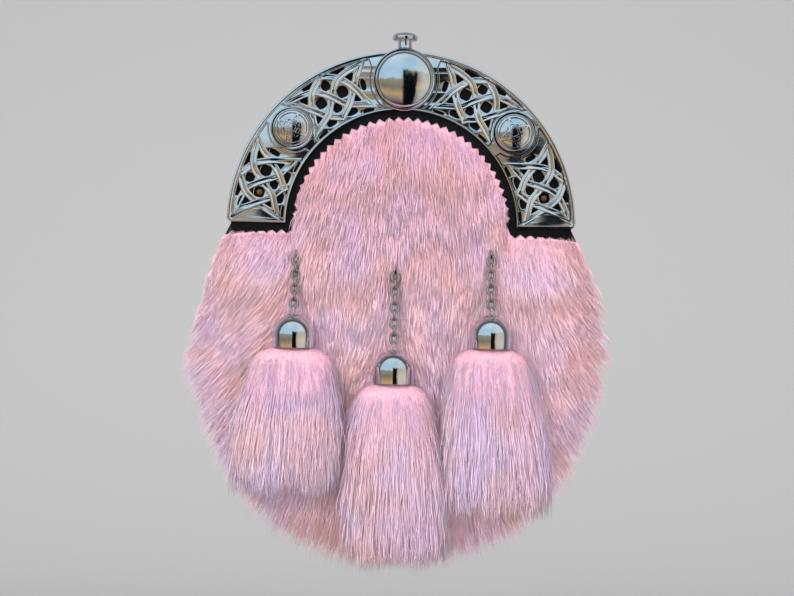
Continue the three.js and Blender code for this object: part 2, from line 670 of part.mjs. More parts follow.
// A lock of fur: thin at its root, widest and highest below the middle, pointed at its tip.
function lock(x, z, heading, length) {
  const a = radians(heading);
  const down = point(Math.sin(a), 0, -Math.cos(a));
  const across = point(Math.cos(a), 0, Math.sin(a));
  const at = (share, side, lift) => {
    const px = x + down.x * share * length + (across.x * side * LOCK_WIDTH) / 2;
    const pz = z + down.z * share * length + (across.z * side * LOCK_WIDTH) / 2;
    return point(px, -(hideFront(px, pz) + furThickness(px, pz) * (1 + lift / FUR_DEEP)), pz);
  };
  const sunk = -0.85 * FUR_DEEP;
  const [root, tip, ridge] = [at(0, 0, sunk), at(1, 0, sunk / 2), at(0.65, 0, LOCK_RISE)];
  const [left, right] = [at(0.6, -1, sunk), at(0.6, 1, sunk)];
  const triangles = [[0, 1, 4], [1, 3, 4], [3, 2, 4], [2, 0, 4], [0, 2, 1], [1, 2, 3]];
  return closedGeometry([root, left, right, tip, ridge], triangles);
}

// How thick the fur lies on the hide: thin at the edges and where a tassel presses on it.
function furThickness(x, z) {
  const across = x / (bodyHalfWidth + FUR_OVERHANG);
  const along = (z - bodyMiddle) / (bodyHalfHeight + FUR_OVERHANG);
  const inside = clamp01(1 - across ** 2 - along ** 2);
  let thickness = FUR_EDGE + (FUR_DEEP - FUR_EDGE) * smooth(2.5 * inside);
  for (const row of drops) {
    const middle = row.bellTop.z - (BELL_HEIGHT + row.length) / 2;
    const dx = (x - row.x - row.slant / 2) / (1.25 * row.halfWidth);
    const dz = (z - middle) / (0.8 * (BELL_HEIGHT + row.length));
    const pressed = smooth(2 - 2 * Math.hypot(dx, dz) ** 2);
    thickness += (FUR_PRESSED - thickness) * pressed;
  }
  return thickness;
}

const furSurface = (x, z) => hideFront(x, z) + furThickness(x, z);

// A few-sided bar that holds a round one of the radius, along Y.
function roundRoom(radius, length, sides) {
  const corner = radius / Math.cos(Math.PI / sides);
  return new THREE.CylinderGeometry(corner, corner, length, sides);
}

// The fur: a thick layer on the hide with locks combed down over it and past its lower edge.
function furFront() {
  const middle = [0, bodyMiddle];
  const layer = domedSheet(outlineGrown(FUR_OVERHANG), middle, PANEL_SHARES, hideDepth, furSurface);
  const locks = [];
  const rowStep = LOCK_ROW_PITCH * LOCK_LENGTH;
  const rows = Math.floor((teethTipR + BODY_DROP - LOCK_LENGTH) / rowStep) + 1;
  for (let i = 0; i < rows; i++) {
    const z = teethTipR - 2 - i * rowStep;
    const share = (z - bodyMiddle) / bodyHalfHeight;
    const half = z > -LOCK_WIDTH ? Math.sqrt(Math.max(0, teethTipR ** 2 - Math.max(z, 0) ** 2))
      : bodyHalfWidth * Math.sqrt(Math.max(0, 1 - share ** 2));
    const count = Math.max(1, Math.floor((2 * half) / LOCK_WIDTH));
    for (let k = 0; k < count; k++) {
      const stagger = i % 2 ? LOCK_STAGGER : -LOCK_STAGGER;
      const x = LOCK_SPREAD * half * ((2 * (k + 0.5 + stagger)) / count - 1);
      const heading = LOCK_FAN * (x / bodyHalfWidth);
      locks.push(lock(x, z, heading, LOCK_LENGTH));
    }
  }
  const hem = lowerEdge(HEM_LOCKS, -HEM_ROOT * LOCK_LENGTH).slice(1, -1);
  hem.forEach(([x, z], i) => {
    const reach = HEM_ROOT * LOCK_LENGTH + HEM_LENGTH * (i % 2 ? 1 : HEM_SHORT);
    locks.push(lock(x, z, HEM_FAN * (x / bodyHalfWidth), reach));
  });
  const holes = drops.map(({ eye }) => {
    return roundRoom(EYE_RING_R + EYE_WIRE / 2 + GAP, 4 * FUR_DEEP, 6).translate(eye.x, eye.y, eye.z);
  });
  const grooves = drops.map(({ eye, bellEye, lean }) => {
    const groove = roundRoom(LINK_WIDTH / 2 + LINK_WIRE + GAP, eye.distanceTo(bellEye) + LINK_LENGTH, 6);
    const middle = eye.clone().add(bellEye).multiplyScalar(0.5);
    return groove.rotateX(Math.PI / 2 - lean).translate(middle.x, middle.y, middle.z);
  });
  const dents = drops.flatMap((row) => {
    const room = roundRoom(BELL_R + BELL_LIP + GAP, BELL_HEIGHT + 2 * GAP, 10).rotateX(Math.PI / 2);
    room.translate(row.bellTop.x, row.bellTop.y, row.bellTop.z - BELL_HEIGHT / 2);
    return [room, tasselForm(row, GAP)];
  });
  const cut = fuse([pouchForm(), facingRoom(0, 4 * plateBack), ...holes, ...grooves, ...dents]);
  return piece("fur_front", toGeometry(fuse([layer, ...locks]).subtract(cut)), materials.fur);
}

// A plain leather loop on the back of the pouch: two feet and a bridge that the belt strap passes.
function strapLoop(name, side) {
  const middle = side * LOOP_OFFSET;
  const half = LOOP_SPAN / 2;
  const top = GAP + LOOP_ROOM;
  const section = [
    [-half - LOOP_FOOT, GAP], [LEATHER - half, GAP], [LEATHER + LOOP_EASE - half, top],
    [half - LEATHER - LOOP_EASE, top], [half - LEATHER, GAP], [half + LOOP_FOOT, GAP],
    [half + LOOP_FOOT, GAP + LEATHER], [half, GAP + LEATHER], [half - LOOP_EASE, top + LEATHER],
    [LOOP_EASE - half, top + LEATHER], [-half, GAP + LEATHER], [-half - LOOP_FOOT, GAP + LEATHER],
  ];
  const ring = (x) => section.map(([z, y]) => point(x, y, LOOP_HEIGHT + z));
  const flat = section.map(([z, y]) => new THREE.Vector2(z, y));
  const rings = [ring(middle - LOOP_WIDTH / 2), ring(middle + LOOP_WIDTH / 2)];
  return piece(name, loft(rings, { section: flat }), materials.leather);
}

const group = new THREE.Group();
group.add(backPanel(), sideGusset(), panel, furFront(), leatherFacing(), cantle());
group.add(boss("boss_centre", CENTRE_BOSS_R, 0, 18));
group.add(boss("boss_left", SIDE_BOSS_R, -SIDE_BOSS_ANGLE, 12));
group.add(boss("boss_right", SIDE_BOSS_R, SIDE_BOSS_ANGLE, 12));
group.add(cantleKnob(), fixingRivet("fixing_rivet_left", -1), fixingRivet("fixing_rivet_right", 1));
for (const row of drops) {
  group.add(staple(row), ...chainLinks(row), bell(row), tassel(row));
}
group.add(strapLoop("strap_loop_left", -1), strapLoop("strap_loop_right", 1));

// The origin lies on the line of the belt strap, between the two loops.
group.position.set(0, -(GAP + LOOP_ROOM / 2), -LOOP_HEIGHT);

export default group;
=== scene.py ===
# %% [markdown]
# # A dress sporran: a fur pouch under a pierced metal cantle
#
# The real thing is a flat leather pouch that hangs in front of a kilt. Its front is a dyed rabbit
# skin, its mouth is held by a cast and plated arch, the cantle, and three fur tassels hang from it
# on short chains. This lesson builds each of those with the tool that suits it: meshes made from
# a few rules for the metal and the leather, and Geometry Nodes for links, stitches and hair.

# %% The frame
import json
import math
from itertools import product

import bmesh
import bpy
from mathutils import Matrix, Vector, noise

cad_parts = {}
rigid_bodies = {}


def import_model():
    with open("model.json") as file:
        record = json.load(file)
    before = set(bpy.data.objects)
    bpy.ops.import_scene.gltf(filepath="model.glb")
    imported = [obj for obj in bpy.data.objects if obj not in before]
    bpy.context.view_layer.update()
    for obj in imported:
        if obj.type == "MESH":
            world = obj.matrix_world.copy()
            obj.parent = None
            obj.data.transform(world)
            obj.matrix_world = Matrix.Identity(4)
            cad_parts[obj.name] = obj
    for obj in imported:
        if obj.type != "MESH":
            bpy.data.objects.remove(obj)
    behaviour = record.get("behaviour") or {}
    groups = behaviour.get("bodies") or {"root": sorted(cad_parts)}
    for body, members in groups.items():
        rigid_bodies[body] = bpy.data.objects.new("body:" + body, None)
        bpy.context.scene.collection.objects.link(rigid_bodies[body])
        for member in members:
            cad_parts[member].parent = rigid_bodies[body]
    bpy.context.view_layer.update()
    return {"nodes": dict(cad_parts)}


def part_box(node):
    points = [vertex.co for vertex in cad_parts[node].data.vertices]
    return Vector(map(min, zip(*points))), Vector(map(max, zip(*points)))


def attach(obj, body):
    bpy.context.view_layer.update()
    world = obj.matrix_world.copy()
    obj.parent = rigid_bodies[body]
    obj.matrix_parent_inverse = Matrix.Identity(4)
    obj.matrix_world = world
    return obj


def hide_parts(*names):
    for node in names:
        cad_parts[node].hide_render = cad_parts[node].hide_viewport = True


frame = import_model()
MM = 0.001

# %% [markdown]
# ## Places and sizes
#
# Everything below is written in millimetres about the middle of the cantle's lower edge, with a
# depth that counts forward from the back of the pouch. The solids of the frame say where that
# middle is and how big the main pieces are, so nothing has to be typed twice.

# %% Sizes read from the frame
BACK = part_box("back_panel")[1][1]
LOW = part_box("cantle")[0][2]


def size(node, corner, axis):
    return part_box(node)[corner][axis] / MM


def depth_of(node, corner):
    return (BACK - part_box(node)[corner][1]) / MM


OUTER_R = size("cantle", 1, 0)
ARCH_R = size("leather_facing", 1, 0)
HALF_WIDTH = size("back_panel", 1, 0)
DROP = (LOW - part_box("back_panel")[0][2]) / MM
FACING_BACK = depth_of("leather_facing", 1)
FACING_FRONT = depth_of("leather_facing", 0)
FACING_LOW = (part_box("leather_facing")[0][2] - LOW) / MM
BACK_LEATHER = depth_of("back_panel", 0)
print(f"cantle radius {OUTER_R:.1f} mm, pouch {2 * HALF_WIDTH:.1f} mm wide, drop {DROP:.1f} mm")


def at(x, depth, z):
    """A place in metres from millimetres across, forward of the pouch's back, and up."""
    return Vector((x * MM, BACK - depth * MM, LOW + z * MM))


# %% [markdown]
# ## Helpers for shapes
#
# Three ways of making a closed shape cover nearly all the hard pieces. A turned piece spins a
# profile about an axis, as a lathe does. A swept piece carries a section along a path, as a bent
# wire or a raised line does. A sheet fills an outline with rings that shrink towards its middle.

# %% Turning, sweeping and sheets
def clamp(t, low=0.0, high=1.0):
    return max(low, min(high, t))


def smooth(t):
    t = clamp(t)
    return t * t * (3 - 2 * t)


def turned(profile, steps, place):
    """Spins (radius, height) pairs about an axis. Place turns x, y and height into a point."""
    points, faces, rows = [], [], []
    for radius, height in profile:
        if radius == 0:
            rows.append([len(points)] * steps)
            points.append(place(0, 0, height))
            continue
        rows.append(list(range(len(points), len(points) + steps)))
        for k in range(steps):
            turn = math.tau * k / steps
            points.append(place(radius * math.cos(turn), radius * math.sin(turn), height))
    for low, high in zip(rows, rows[1:]):
        for k in range(steps):
            m = (k + 1) % steps
            faces.append(tuple(dict.fromkeys((low[k], low[m], high[m], high[k]))))
    return points, faces


def swept(rings, loop=False):
    """Joins rings of equally many points, and caps the two ends unless they form a loop."""
    sides, count = len(rings[0]), len(rings)
    points = [point for ring in rings for point in ring]
    faces = []
    for i in range(count if loop else count - 1):
        here, there = i * sides, (i + 1) % count * sides
        for k in range(sides):
            m = (k + 1) % sides
            faces.append((here + k, there + k, there + m, here + m))
    if not loop:
        faces.append(tuple(range(sides)))
        faces.append(tuple(range((count - 1) * sides, count * sides)))
    return points, faces


def sheet(outline, middle, shares, back, front):
    """A sheet over an outline. Back and front give its two depths at a place."""
    mx, mz = middle
    places = [(mx + s * (x - mx), mz + s * (z - mz)) for s in shares for x, z in outline] + [middle]
    sides, rows, last = len(outline), len(shares), len(places)
    inmost = (rows - 1) * sides
    points = [at(x, depth(x, z), z) for depth in (back, front) for x, z in places]
    faces = []
    for k in range(sides):
        m = (k + 1) % sides
        for layer in (0, last):
            for i in range(rows - 1):
                a, b = layer + i * sides + k, layer + i * sides + m
                faces.append((a, b, b + sides, a + sides))
            faces.append((layer + inmost + k, layer + inmost + m, layer + last - 1))
        faces.append((k, m, last + m, last + k))
    return points, faces


def eased(line, radius, steps=3, loop=False):
    """Rounds the corners of a line of pairs."""
    out = []
    for i, corner in enumerate(line):
        if not loop and i in (0, len(line) - 1):
            out.append(tuple(corner))
            continue
        here = Vector(corner)
        before, after = Vector(line[i - 1]) - here, Vector(line[(i + 1) % len(line)]) - here
        start = before.normalized() * min(radius, 0.45 * before.length)
        end = after.normalized() * min(radius, 0.45 * after.length)
        for step in range(steps + 1):
            t = step / steps
            out.append(tuple(here + start * (1 - t) ** 2 + end * t ** 2))
    return out


def arc(radius, start, end, steps, middle=(0, 0)):
    """Places on a circle, with angles in degrees from straight up towards +X."""
    turns = [math.radians(start + (end - start) * i / steps) for i in range(steps + 1)]
    return [(middle[0] + radius * math.sin(a), middle[1] + radius * math.cos(a)) for a in turns]


def solid(name, shapes, material, sharp=35):
    """One object from closed shapes, with faces out and soft shading up to an angle."""
    work = bmesh.new()
    for points, faces in shapes:
        corners = [work.verts.new(point) for point in points]
        for face in faces:
            work.faces.new([corners[k] for k in face])
    bmesh.ops.recalc_face_normals(work, faces=work.faces)
    mesh = bpy.data.meshes.new(name)
    work.to_mesh(mesh)
    work.free()
    mesh.shade_smooth()
    mesh.set_sharp_from_angle(angle=math.radians(sharp))
    mesh.materials.append(material)
    piece = bpy.data.objects.new(name, mesh)
    bpy.context.collection.objects.link(piece)
    return piece


def declare(piece, slot, *nodes):
    """Says what a piece rides on and which solids it stands for. Its slot is not used."""
    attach(piece, "root")
    if nodes:
        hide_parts(*nodes)
    print(f"{piece.name}: {len(piece.data.polygons)} faces")


# %% [markdown]
# ## Helpers for nodes
#
# Materials and Geometry Nodes trees are both built from the same small function, which adds one
# node, sets it and links it. Colours are written the way a picture editor shows them and turned
# into the linear values that the shaders work in.

# %% Nodes and colours
def linear(hex_colour):
    """An sRGB hex colour as linear red, green, blue and alpha."""
    parts = [int(hex_colour[i:i + 2], 16) / 255 for i in (0, 2, 4)]
    return (*[c / 12.92 if c <= 0.04045 else ((c + 0.055) / 1.055) ** 2.4 for c in parts], 1.0)


def add(tree, kind, inputs=None, **settings):
    """Adds a node. Inputs are values or sockets to link, by the input's name or number."""
    node = tree.nodes.new(kind)
    for name, value in settings.items():
        setattr(node, name, value)
    for name, value in (inputs or {}).items():
        if isinstance(value, bpy.types.NodeSocket):
            tree.links.new(value, node.inputs[name])
        else:
            node.inputs[name].default_value = value
    return node


def ramp(tree, factor, stops):
    """A colour ramp with (place, hex colour) stops."""
    node = add(tree, "ShaderNodeValToRGB", {"Fac": factor})
    points = node.color_ramp.elements
    points[0].position, points[0].color = stops[0][0], linear(stops[0][1])
    points[1].position, points[1].color = stops[-1][0], linear(stops[-1][1])
    for place, hex_colour in stops[1:-1]:
        points.new(place).color = linear(hex_colour)
    return node.outputs["Color"]


def new_material(name, **values):
    """A material with one Principled shader, its constant values set on the shader itself."""
    material = bpy.data.materials.new(name)
    material.use_nodes = True
    shader = material.node_tree.nodes["Principled BSDF"]
    for socket, value in values.items():
        shader.inputs[socket.replace("_", " ")].default_value = value
    return material, material.node_tree, shader


def per_mm(size_mm):
    """The texture scale whose features are about this many millimetres across."""
    return 1 / (size_mm * MM)


def speckle(tree, place, scale, detail):
    """Noise between nought and one."""
    return add(tree, "ShaderNodeTexNoise", {"Vector": place, "Scale": scale, "Detail": detail}).outputs["Fac"]


def spread(tree, value, low, high, to_low=0.0, to_high=1.0, kind="LINEAR"):
    """A value between two limits, carried over to two others."""
    node = add(tree, "ShaderNodeMapRange", {"Value": value, "From Min": low, "From Max": high,
                                            "To Min": to_low, "To Max": to_high}, interpolation_type=kind)
    return node.outputs["Result"]


def blended(tree, factor, first, second, **settings):
    return add(tree, "ShaderNodeMix", {"Factor": factor, "A": first, "B": second}, **settings).outputs["Result"]


def bumped(tree, shader, height, depth_mm, strength):
    """Gives a shader the small ups and downs of a height."""
    bump = add(tree, "ShaderNodeBump", {"Height": height, "Distance": depth_mm * MM, "Strength": strength})
    tree.links.new(bump.outputs["Normal"], shader.inputs["Normal"])


# %% [markdown]
# ## Plated metal
#
# The cantle, bosses, bells and chain are zinc castings and steel wire, polished and plated with
# chrome. Chrome mirrors everything round it, so nearly all of its look comes from the light. What
# the material itself adds is the plating's faint waviness over a casting, and a thin dull film
# where fingers don't rub it.

# %% Chrome and brass
FILM_MM = 6


def chrome(name, tint, roughness, wave_mm, wave_depth):
    material, tree, shader = new_material(name, Metallic=1.0)
    coords = add(tree, "ShaderNodeTexCoord").outputs["Object"]
    film = speckle(tree, coords, per_mm(FILM_MM), 4.0)
    dull = spread(tree, film, 0.35, 0.7, roughness, roughness + 0.07)
    tree.links.new(dull, shader.inputs["Roughness"])
    tree.links.new(ramp(tree, film, [(0.3, tint[0]), (0.7, tint[1])]), shader.inputs["Base Color"])
    bumped(tree, shader, speckle(tree, coords, per_mm(wave_mm), 2.0), wave_depth, 1.0)
    return material


cast_chrome = chrome("chrome_plated_casting", ("D6D8DB", "EAEBED"), 0.1, 2.5, 0.02)
mirror_chrome = chrome("polished_chrome", ("D2D4D8", "E2E4E6"), 0.03, 14, 0.03)
wire_chrome = chrome("chrome_plated_wire", ("A89E98", "C8BEB8"), 0.08, 1.5, 0.02)
aged_brass = chrome("tarnished_brass", ("9C7442", "C29A62"), 0.28, 1.0, 0.03)

# %% [markdown]
# ## Black leather
#
# The pouch is chrome-tanned cowhide, dyed black and finished with a soft shine. Its grain is a
# net of fine creases around small pebbles. A cell pattern gives the pebbles, and a slow noise
# makes the shine patchy, as handled leather is.

# %% Leather
PATCH_MM = 22


def leather(name, tones, roughness, gloss, pebble_mm, grain_depth):
    material, tree, shader = new_material(name, IOR=1.48, Specular_IOR_Level=gloss)
    coords = add(tree, "ShaderNodeTexCoord").outputs["Object"]
    pebbles = add(tree, "ShaderNodeTexVoronoi", {"Vector": coords, "Scale": per_mm(pebble_mm),
                                                 "Randomness": 0.9}, feature="SMOOTH_F1")
    creases = speckle(tree, coords, per_mm(pebble_mm * 0.6), 5.0)
    patches = speckle(tree, coords, per_mm(PATCH_MM), 3.0)
    tree.links.new(ramp(tree, patches, [(0.3, tones[0]), (0.7, tones[1])]), shader.inputs["Base Color"])
    shine = spread(tree, patches, 0.3, 0.7, roughness, roughness + 0.14)
    tree.links.new(shine, shader.inputs["Roughness"])
    grain = add(tree, "ShaderNodeMath", {0: pebbles.outputs["Distance"], 1: creases}, operation="ADD")
    bumped(tree, shader, grain.outputs[0], grain_depth, 0.6)
    return material


pouch_leather = leather("black_grain_leather", ("17171A", "27262B"), 0.4, 0.45, 0.9, 0.12)
trim_leather = leather("black_smooth_leather", ("070709", "0D0D10"), 0.4, 0.15, 0.6, 0.06)
waxed_thread, _, _ = new_material("waxed_linen_thread", Base_Color=linear("4A474E"), Roughness=0.6)

# %% [markdown]
# ## Dyed rabbit fur
#
# Rabbit skin has a short woolly undercoat and longer, glossier guard hairs. Dyed pale pink, the
# roots stay deeper and warmer, and the tips go almost lavender where the light passes along them.
# Each hair carries two numbers, how far along it a point is and a random tone, and the shader
# mixes its colours from those, so that every hair differs a little from its neighbours.

# %% Fur
def fur(name, root, middle, tip, tone_span, painted_glow, height_tints_and_painted_shade):
    # The emission in the fur's middle colour is painted light: a faint glow that lifts the shade between the hairs.
    material, tree, shader = new_material(name, Roughness=0.6, Sheen_Weight=0.3, Sheen_Roughness=0.4,
                                          Specular_IOR_Level=0.35, Emission_Color=linear(middle),
                                          Emission_Strength=painted_glow)
    along = add(tree, "ShaderNodeAttribute", attribute_name="along").outputs["Fac"]
    tone = add(tree, "ShaderNodeAttribute", attribute_name="tone").outputs["Fac"]
    coords = add(tree, "ShaderNodeTexCoord").outputs["Object"]
    patches = speckle(tree, coords, per_mm(24), 3.0)
    body = ramp(tree, along, [(0.0, root), (0.45, middle), (0.95, tip)])
    change = ramp(tree, tone, [(0.0, tone_span[0]), (0.3, "F0F0F0"), (0.75, "F8F8F8"), (1.0, tone_span[1])])
    warm = ramp(tree, patches, [(0.36, "FFE8DE"), (0.5, "FFF1F3"), (0.63, "F6EFFF")])
    # A ramp by height multiplies the fur's colour. Towards the top it is darker, as painted shade that evens out the
    # lamps' stronger light from above. Towards the bottom it is warmer.
    up = add(tree, "ShaderNodeSeparateXYZ", {"Vector": coords}).outputs["Z"]
    height_tint_and_painted_shade = ramp(tree, spread(tree, up, LOW - 0.18, LOW + 0.05), height_tints_and_painted_shade)
    for tint in (change, warm, height_tint_and_painted_shade):
        body = blended(tree, 1.0, body, tint, data_type="RGBA", blend_type="MULTIPLY")
    tree.links.new(body, shader.inputs["Base Color"])
    skin = add(tree, "ShaderNodeAttribute", attribute_name="rise").outputs["Vector"]
    own = add(tree, "ShaderNodeNewGeometry").outputs["Normal"]
    leant = blended(tree, 0.85, own, skin, data_type="VECTOR")
    soft = add(tree, "ShaderNodeVectorMath", {0: leant}, operation="NORMALIZE")
    tree.links.new(soft.outputs[0], shader.inputs["Normal"])
    return material


# Each fur's number is the strength of its painted glow. Its list of heights gives painted shade towards the top and
# a warmer tint towards the bottom.
body_fur = fur("pink_rabbit_fur", "EBBAC8", "F7D2E0", "FFEAF7", ("E8D8DA", "FFFFFF"), 0.06,
               [(0.0, "F2DCCE"), (0.3, "FFFFFF"), (0.65, "FFFFFF"), (1.0, "EBDEE6")])
tassel_fur = fur("pink_rabbit_tassel_fur", "CFA6BA", "E0C4D8", "EEE0F0", ("F4EEF0", "FFFFFF"), 0.15,
                 [(0.0, "F4E2D8"), (0.25, "FFFFFF"), (0.4, "FFFFFF"), (0.52, "DCDEE8")])


def wool(name, tones, clump_mm):
    """The woolly undercoat: a mat of short crimped hair, seen only in the gaps of the guard hair. Its tones are
    darker than the hair's as painted shade in those gaps.
    """
    material, tree, shader = new_material(name, Roughness=0.85, Specular_IOR_Level=0.15)
    coords = add(tree, "ShaderNodeTexCoord").outputs["Object"]
    drawn = add(tree, "ShaderNodeMapping", {"Vector": coords, "Scale": (1, 1, 0.14)})
    fibres = add(tree, "ShaderNodeTexNoise", {"Vector": drawn.outputs[0], "Scale": per_mm(clump_mm),
                                              "Detail": 4.0, "Distortion": 0.6}).outputs["Fac"]
    shade = ramp(tree, fibres, [(0.3, tones[0]), (0.5, tones[1]), (0.7, tones[2])])
    tree.links.new(shade, shader.inputs["Base Color"])
    bumped(tree, shader, fibres, 0.8, 0.7)
    return material


# The wool's tones are set darker than the hair's: painted shade for the gaps between hairs and inside the tassels'
# cores.
undercoat_wool_painted_shade = wool("pink_rabbit_wool_painted_shade", ("B58591", "C797A5", "D8AEBB"), 0.7)

# %% [markdown]
# ## The camera
#
# The photograph was taken straight on from less than a metre away, with the sporran turned just
# over a degree clockwise. A long lens from the same distance gives the same flat look, and the
# camera is rolled the other way to give the turn.

# %% Camera
scene = bpy.context.scene
CAMERA_DISTANCE = 0.84
camera = bpy.data.objects.new("camera", bpy.data.cameras.new("camera"))
camera.data.lens = 85
camera.data.sensor_width = 36
camera.location = (-0.00107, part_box("cantle")[0][1] - CAMERA_DISTANCE, LOW - 0.0325)
camera.rotation_euler = (math.radians(90), math.radians(-1.3), 0)
bpy.context.collection.objects.link(camera)
scene.camera = camera
scene.view_settings.view_transform = "Standard"

# %% [markdown]
# ## The stage and the light
#
# A polished part shows its surroundings more than itself. The bosses in the photograph mirror a
# pale blue sky above, a sandy wall to the left and in front, and a dark shape to the right of the
# middle. A world whose colour depends on direction gives all three, and the camera itself sees
# plain grey. Two big soft lamps then light the fur.

# %% World
# Colours that the metal mirrors, from straight below to straight above.
GROUND_WALL_SKY = [(0.0, "4A423C"), (0.18, "A3958C"), (0.3, "D6B280"), (0.42, "8E8272"),
                   (0.535, "A69F90"), (0.56, "C8E4F2"), (0.75, "BEE2F8"), (1.0, "E4F6FF")]
# The dark block in front: the middle of it and half its size, as parts of a direction.
BLOCK_X, BLOCK_Z = 0.16, -0.38
BLOCK_WIDE, BLOCK_TALL = 0.2, 0.7


def sky_world():
    world = bpy.data.worlds.new("daylight")
    world.use_nodes = True
    tree = world.node_tree
    tree.nodes.clear()
    direction = add(tree, "ShaderNodeTexCoord").outputs["Generated"]
    split = add(tree, "ShaderNodeSeparateXYZ", {"Vector": direction}).outputs

    def worked(operation, *values):
        return add(tree, "ShaderNodeMath", dict(enumerate(values)), operation=operation).outputs[0]

    wall = spread(tree, split["X"], -0.04, 0.03, 0.0, 0.2, "SMOOTHSTEP")
    height = worked("SUBTRACT", split["Z"], wall)
    ripple = speckle(tree, direction, 4.0, 3.0)
    level = spread(tree, worked("MULTIPLY_ADD", ripple, 0.15, height), -0.8, 1.0)
    sunlit = spread(tree, split["X"], 0.28, 0.6, 0.0, 0.6, "SMOOTHSTEP")
    bands = ramp(tree, level, GROUND_WALL_SKY)
    banded = blended(tree, sunlit, bands, linear("EDEEE6"), data_type="RGBA")
    across = worked("ABSOLUTE", worked("DIVIDE", worked("SUBTRACT", split["X"], BLOCK_X), BLOCK_WIDE))
    up = worked("ABSOLUTE", worked("DIVIDE", worked("SUBTRACT", split["Z"], BLOCK_Z), BLOCK_TALL))
    ragged = speckle(tree, direction, 9.0, 3.0)
    away = worked("MULTIPLY_ADD", ragged, 0.5, worked("MAXIMUM", across, up))
    shape = spread(tree, away, 1.05, 1.35, 1.0, 0.0, "SMOOTHSTEP")
    mask = worked("MULTIPLY", shape, worked("LESS_THAN", split["Y"], 0.0))
    seen = blended(tree, mask, banded, linear("0A1016"), data_type="RGBA")
    behind = spread(tree, split["Y"], -0.32, -0.12, kind="SMOOTHSTEP")
    hidden = ramp(tree, spread(tree, split["Y"], -0.2, 0.6), [(0.0, "454247"), (0.35, "77727A"), (0.7, "A8A6AE")])
    whole = blended(tree, behind, seen, hidden, data_type="RGBA")
    around = add(tree, "ShaderNodeBackground", {"Color": whole, "Strength": 1.0})
    soft = ramp(tree, level, [(0.0, "C4C2C4"), (0.5, "DADADC"), (1.0, "FFFFFF")])
    plain = add(tree, "ShaderNodeBackground", {"Color": soft, "Strength": 1.0})
    glossy = add(tree, "ShaderNodeLightPath").outputs["Is Glossy Ray"]
    both = add(tree, "ShaderNodeMixShader", {"Fac": glossy, 1: plain.outputs[0], 2: around.outputs[0]})
    add(tree, "ShaderNodeOutputWorld", {"Surface": both.outputs[0]})
    return world


scene.world = sky_world()

# %% Floor, backdrop and lamps
FLOOR = -0.45
BACKDROP = 2.4
SWEEP = 0.9
SIDE = 4.0
backdrop_paper, _, _ = new_material("pale_paper", Base_Color=linear("B8B8B8"), Roughness=0.9)


def backdrop():
    """A floor that sweeps up into a wall, well behind the part."""
    line = [(-SIDE, FLOOR)]
    for i in range(25):
        turn = math.radians(90 * i / 24)
        line.append((BACKDROP - SWEEP + SWEEP * math.sin(turn), FLOOR + SWEEP * (1 - math.cos(turn))))
    line.append((BACKDROP, 3.0))
    points = [(x, y, z) for y, z in line for x in (-SIDE, SIDE)]
    faces = [(2 * i, 2 * i + 1, 2 * i + 3, 2 * i + 2) for i in range(len(line) - 1)]
    mesh = bpy.data.meshes.new("backdrop")
    mesh.from_pydata(points, [], faces)
    mesh.shade_smooth()
    mesh.materials.append(backdrop_paper)
    piece = bpy.data.objects.new("backdrop", mesh)
    bpy.context.collection.objects.link(piece)
    piece.visible_glossy = False


def lamp(name, place, aim, width, watts, hex_colour):
    light = bpy.data.lights.new(name, "AREA")
    light.size = width
    light.energy = watts
    light.color = linear(hex_colour)[:3]
    piece = bpy.data.objects.new(name, light)
    piece.location = place
    piece.rotation_euler = (Vector(aim) - Vector(place)).to_track_quat("-Z", "Y").to_euler()
    piece.visible_glossy = False
    bpy.context.collection.objects.link(piece)


backdrop()
lamp("window_lamp", (-0.7, -1.6, 0.6), (0, 0, -0.07), 1.4, 46, "FFFFFF")
lamp("fill_lamp", (1.1, -1.4, -0.2), (0, 0, -0.09), 1.4, 24, "FBF6FF")
lamp("wall_lamp", (0, 0.6, 1.6), (0, 2.2, 0.1), 1.5, 8, "FFFFFF")

# %% [markdown]
# ## The cantle
#
# The cantle is one casting: a flat arch with a rounded rim and a skirt that folds back over the
# leather. Four windows are cut through it, and in each lies a knot made of one endless strap.
# A flat curve with holes becomes the plate, because Blender fills it and bevels its edges in one
# go. The rim, the thin frame lines and the straps are swept along their own paths on top of it.

# %% Cantle sizes
INNER_R = OUTER_R - 26.5
PLATE_BACK = FACING_FRONT + 0.3
PLATE_FACE = PLATE_BACK + 2.2
RIM = 1.9
INNER_RIM = 1.15
RIM_RISE = 0.6
SKIRT = 7.5
SKIRT_WALL = 1.5
CORNER_R = 3.2
KNOT_R = INNER_R + 0.513 * (OUTER_R - INNER_R)
KNOT_HALF = 0.357 * (OUTER_R - INNER_R)
HOLE_SQUARENESS = 2.8
# Each hole: its u and v on the knot, then its length round the cantle and its height in millimetres.
HOLES = (
    (0.0, 0.6, 4.2, 4.2), (0.0, -0.58, 4.0, 3.8), (0.33, 0.0, 5.0, 5.0), (-0.33, 0.0, 4.8, 4.8),
    (0.65, 0.54, 4.2, 3.6), (-0.65, 0.54, 4.2, 3.6), (0.64, -0.55, 3.6, 3.4), (-0.65, -0.55, 3.4, 3.4),
    (0.41, 1.02, 7.2, 2.8), (-0.37, 1.02, 6.4, 2.8), (0.35, -1.04, 5.6, 3.0), (-0.38, -1.04, 4.8, 3.0),
    (0.93, 0.0, 2.4, 5.0), (0.88, -1.24, 5.4, 1.1), (-0.84, -1.24, 5.4, 1.1),
)
PANELS = ({"middle": 29.7, "half": 14.4}, {"middle": 73.5, "half": 13.2})
BOSS_ANGLE = 49.5
SIDE_BOSS_REACH = 10.9
BOSSES = {"boss_left": (8.3, -BOSS_ANGLE), "boss_centre": (12.6, 0), "boss_right": (8.3, BOSS_ANGLE)}


def polar(radius, degrees):
    a = math.radians(degrees)
    return radius * math.sin(a), radius * math.cos(a)


def knot_place(panel, side, u, v):
    """A place on a knot: u runs round the cantle, v outwards, both from -1 to 1."""
    return polar(KNOT_R + v * KNOT_HALF, side * (panel["middle"] - u * panel["half"]))


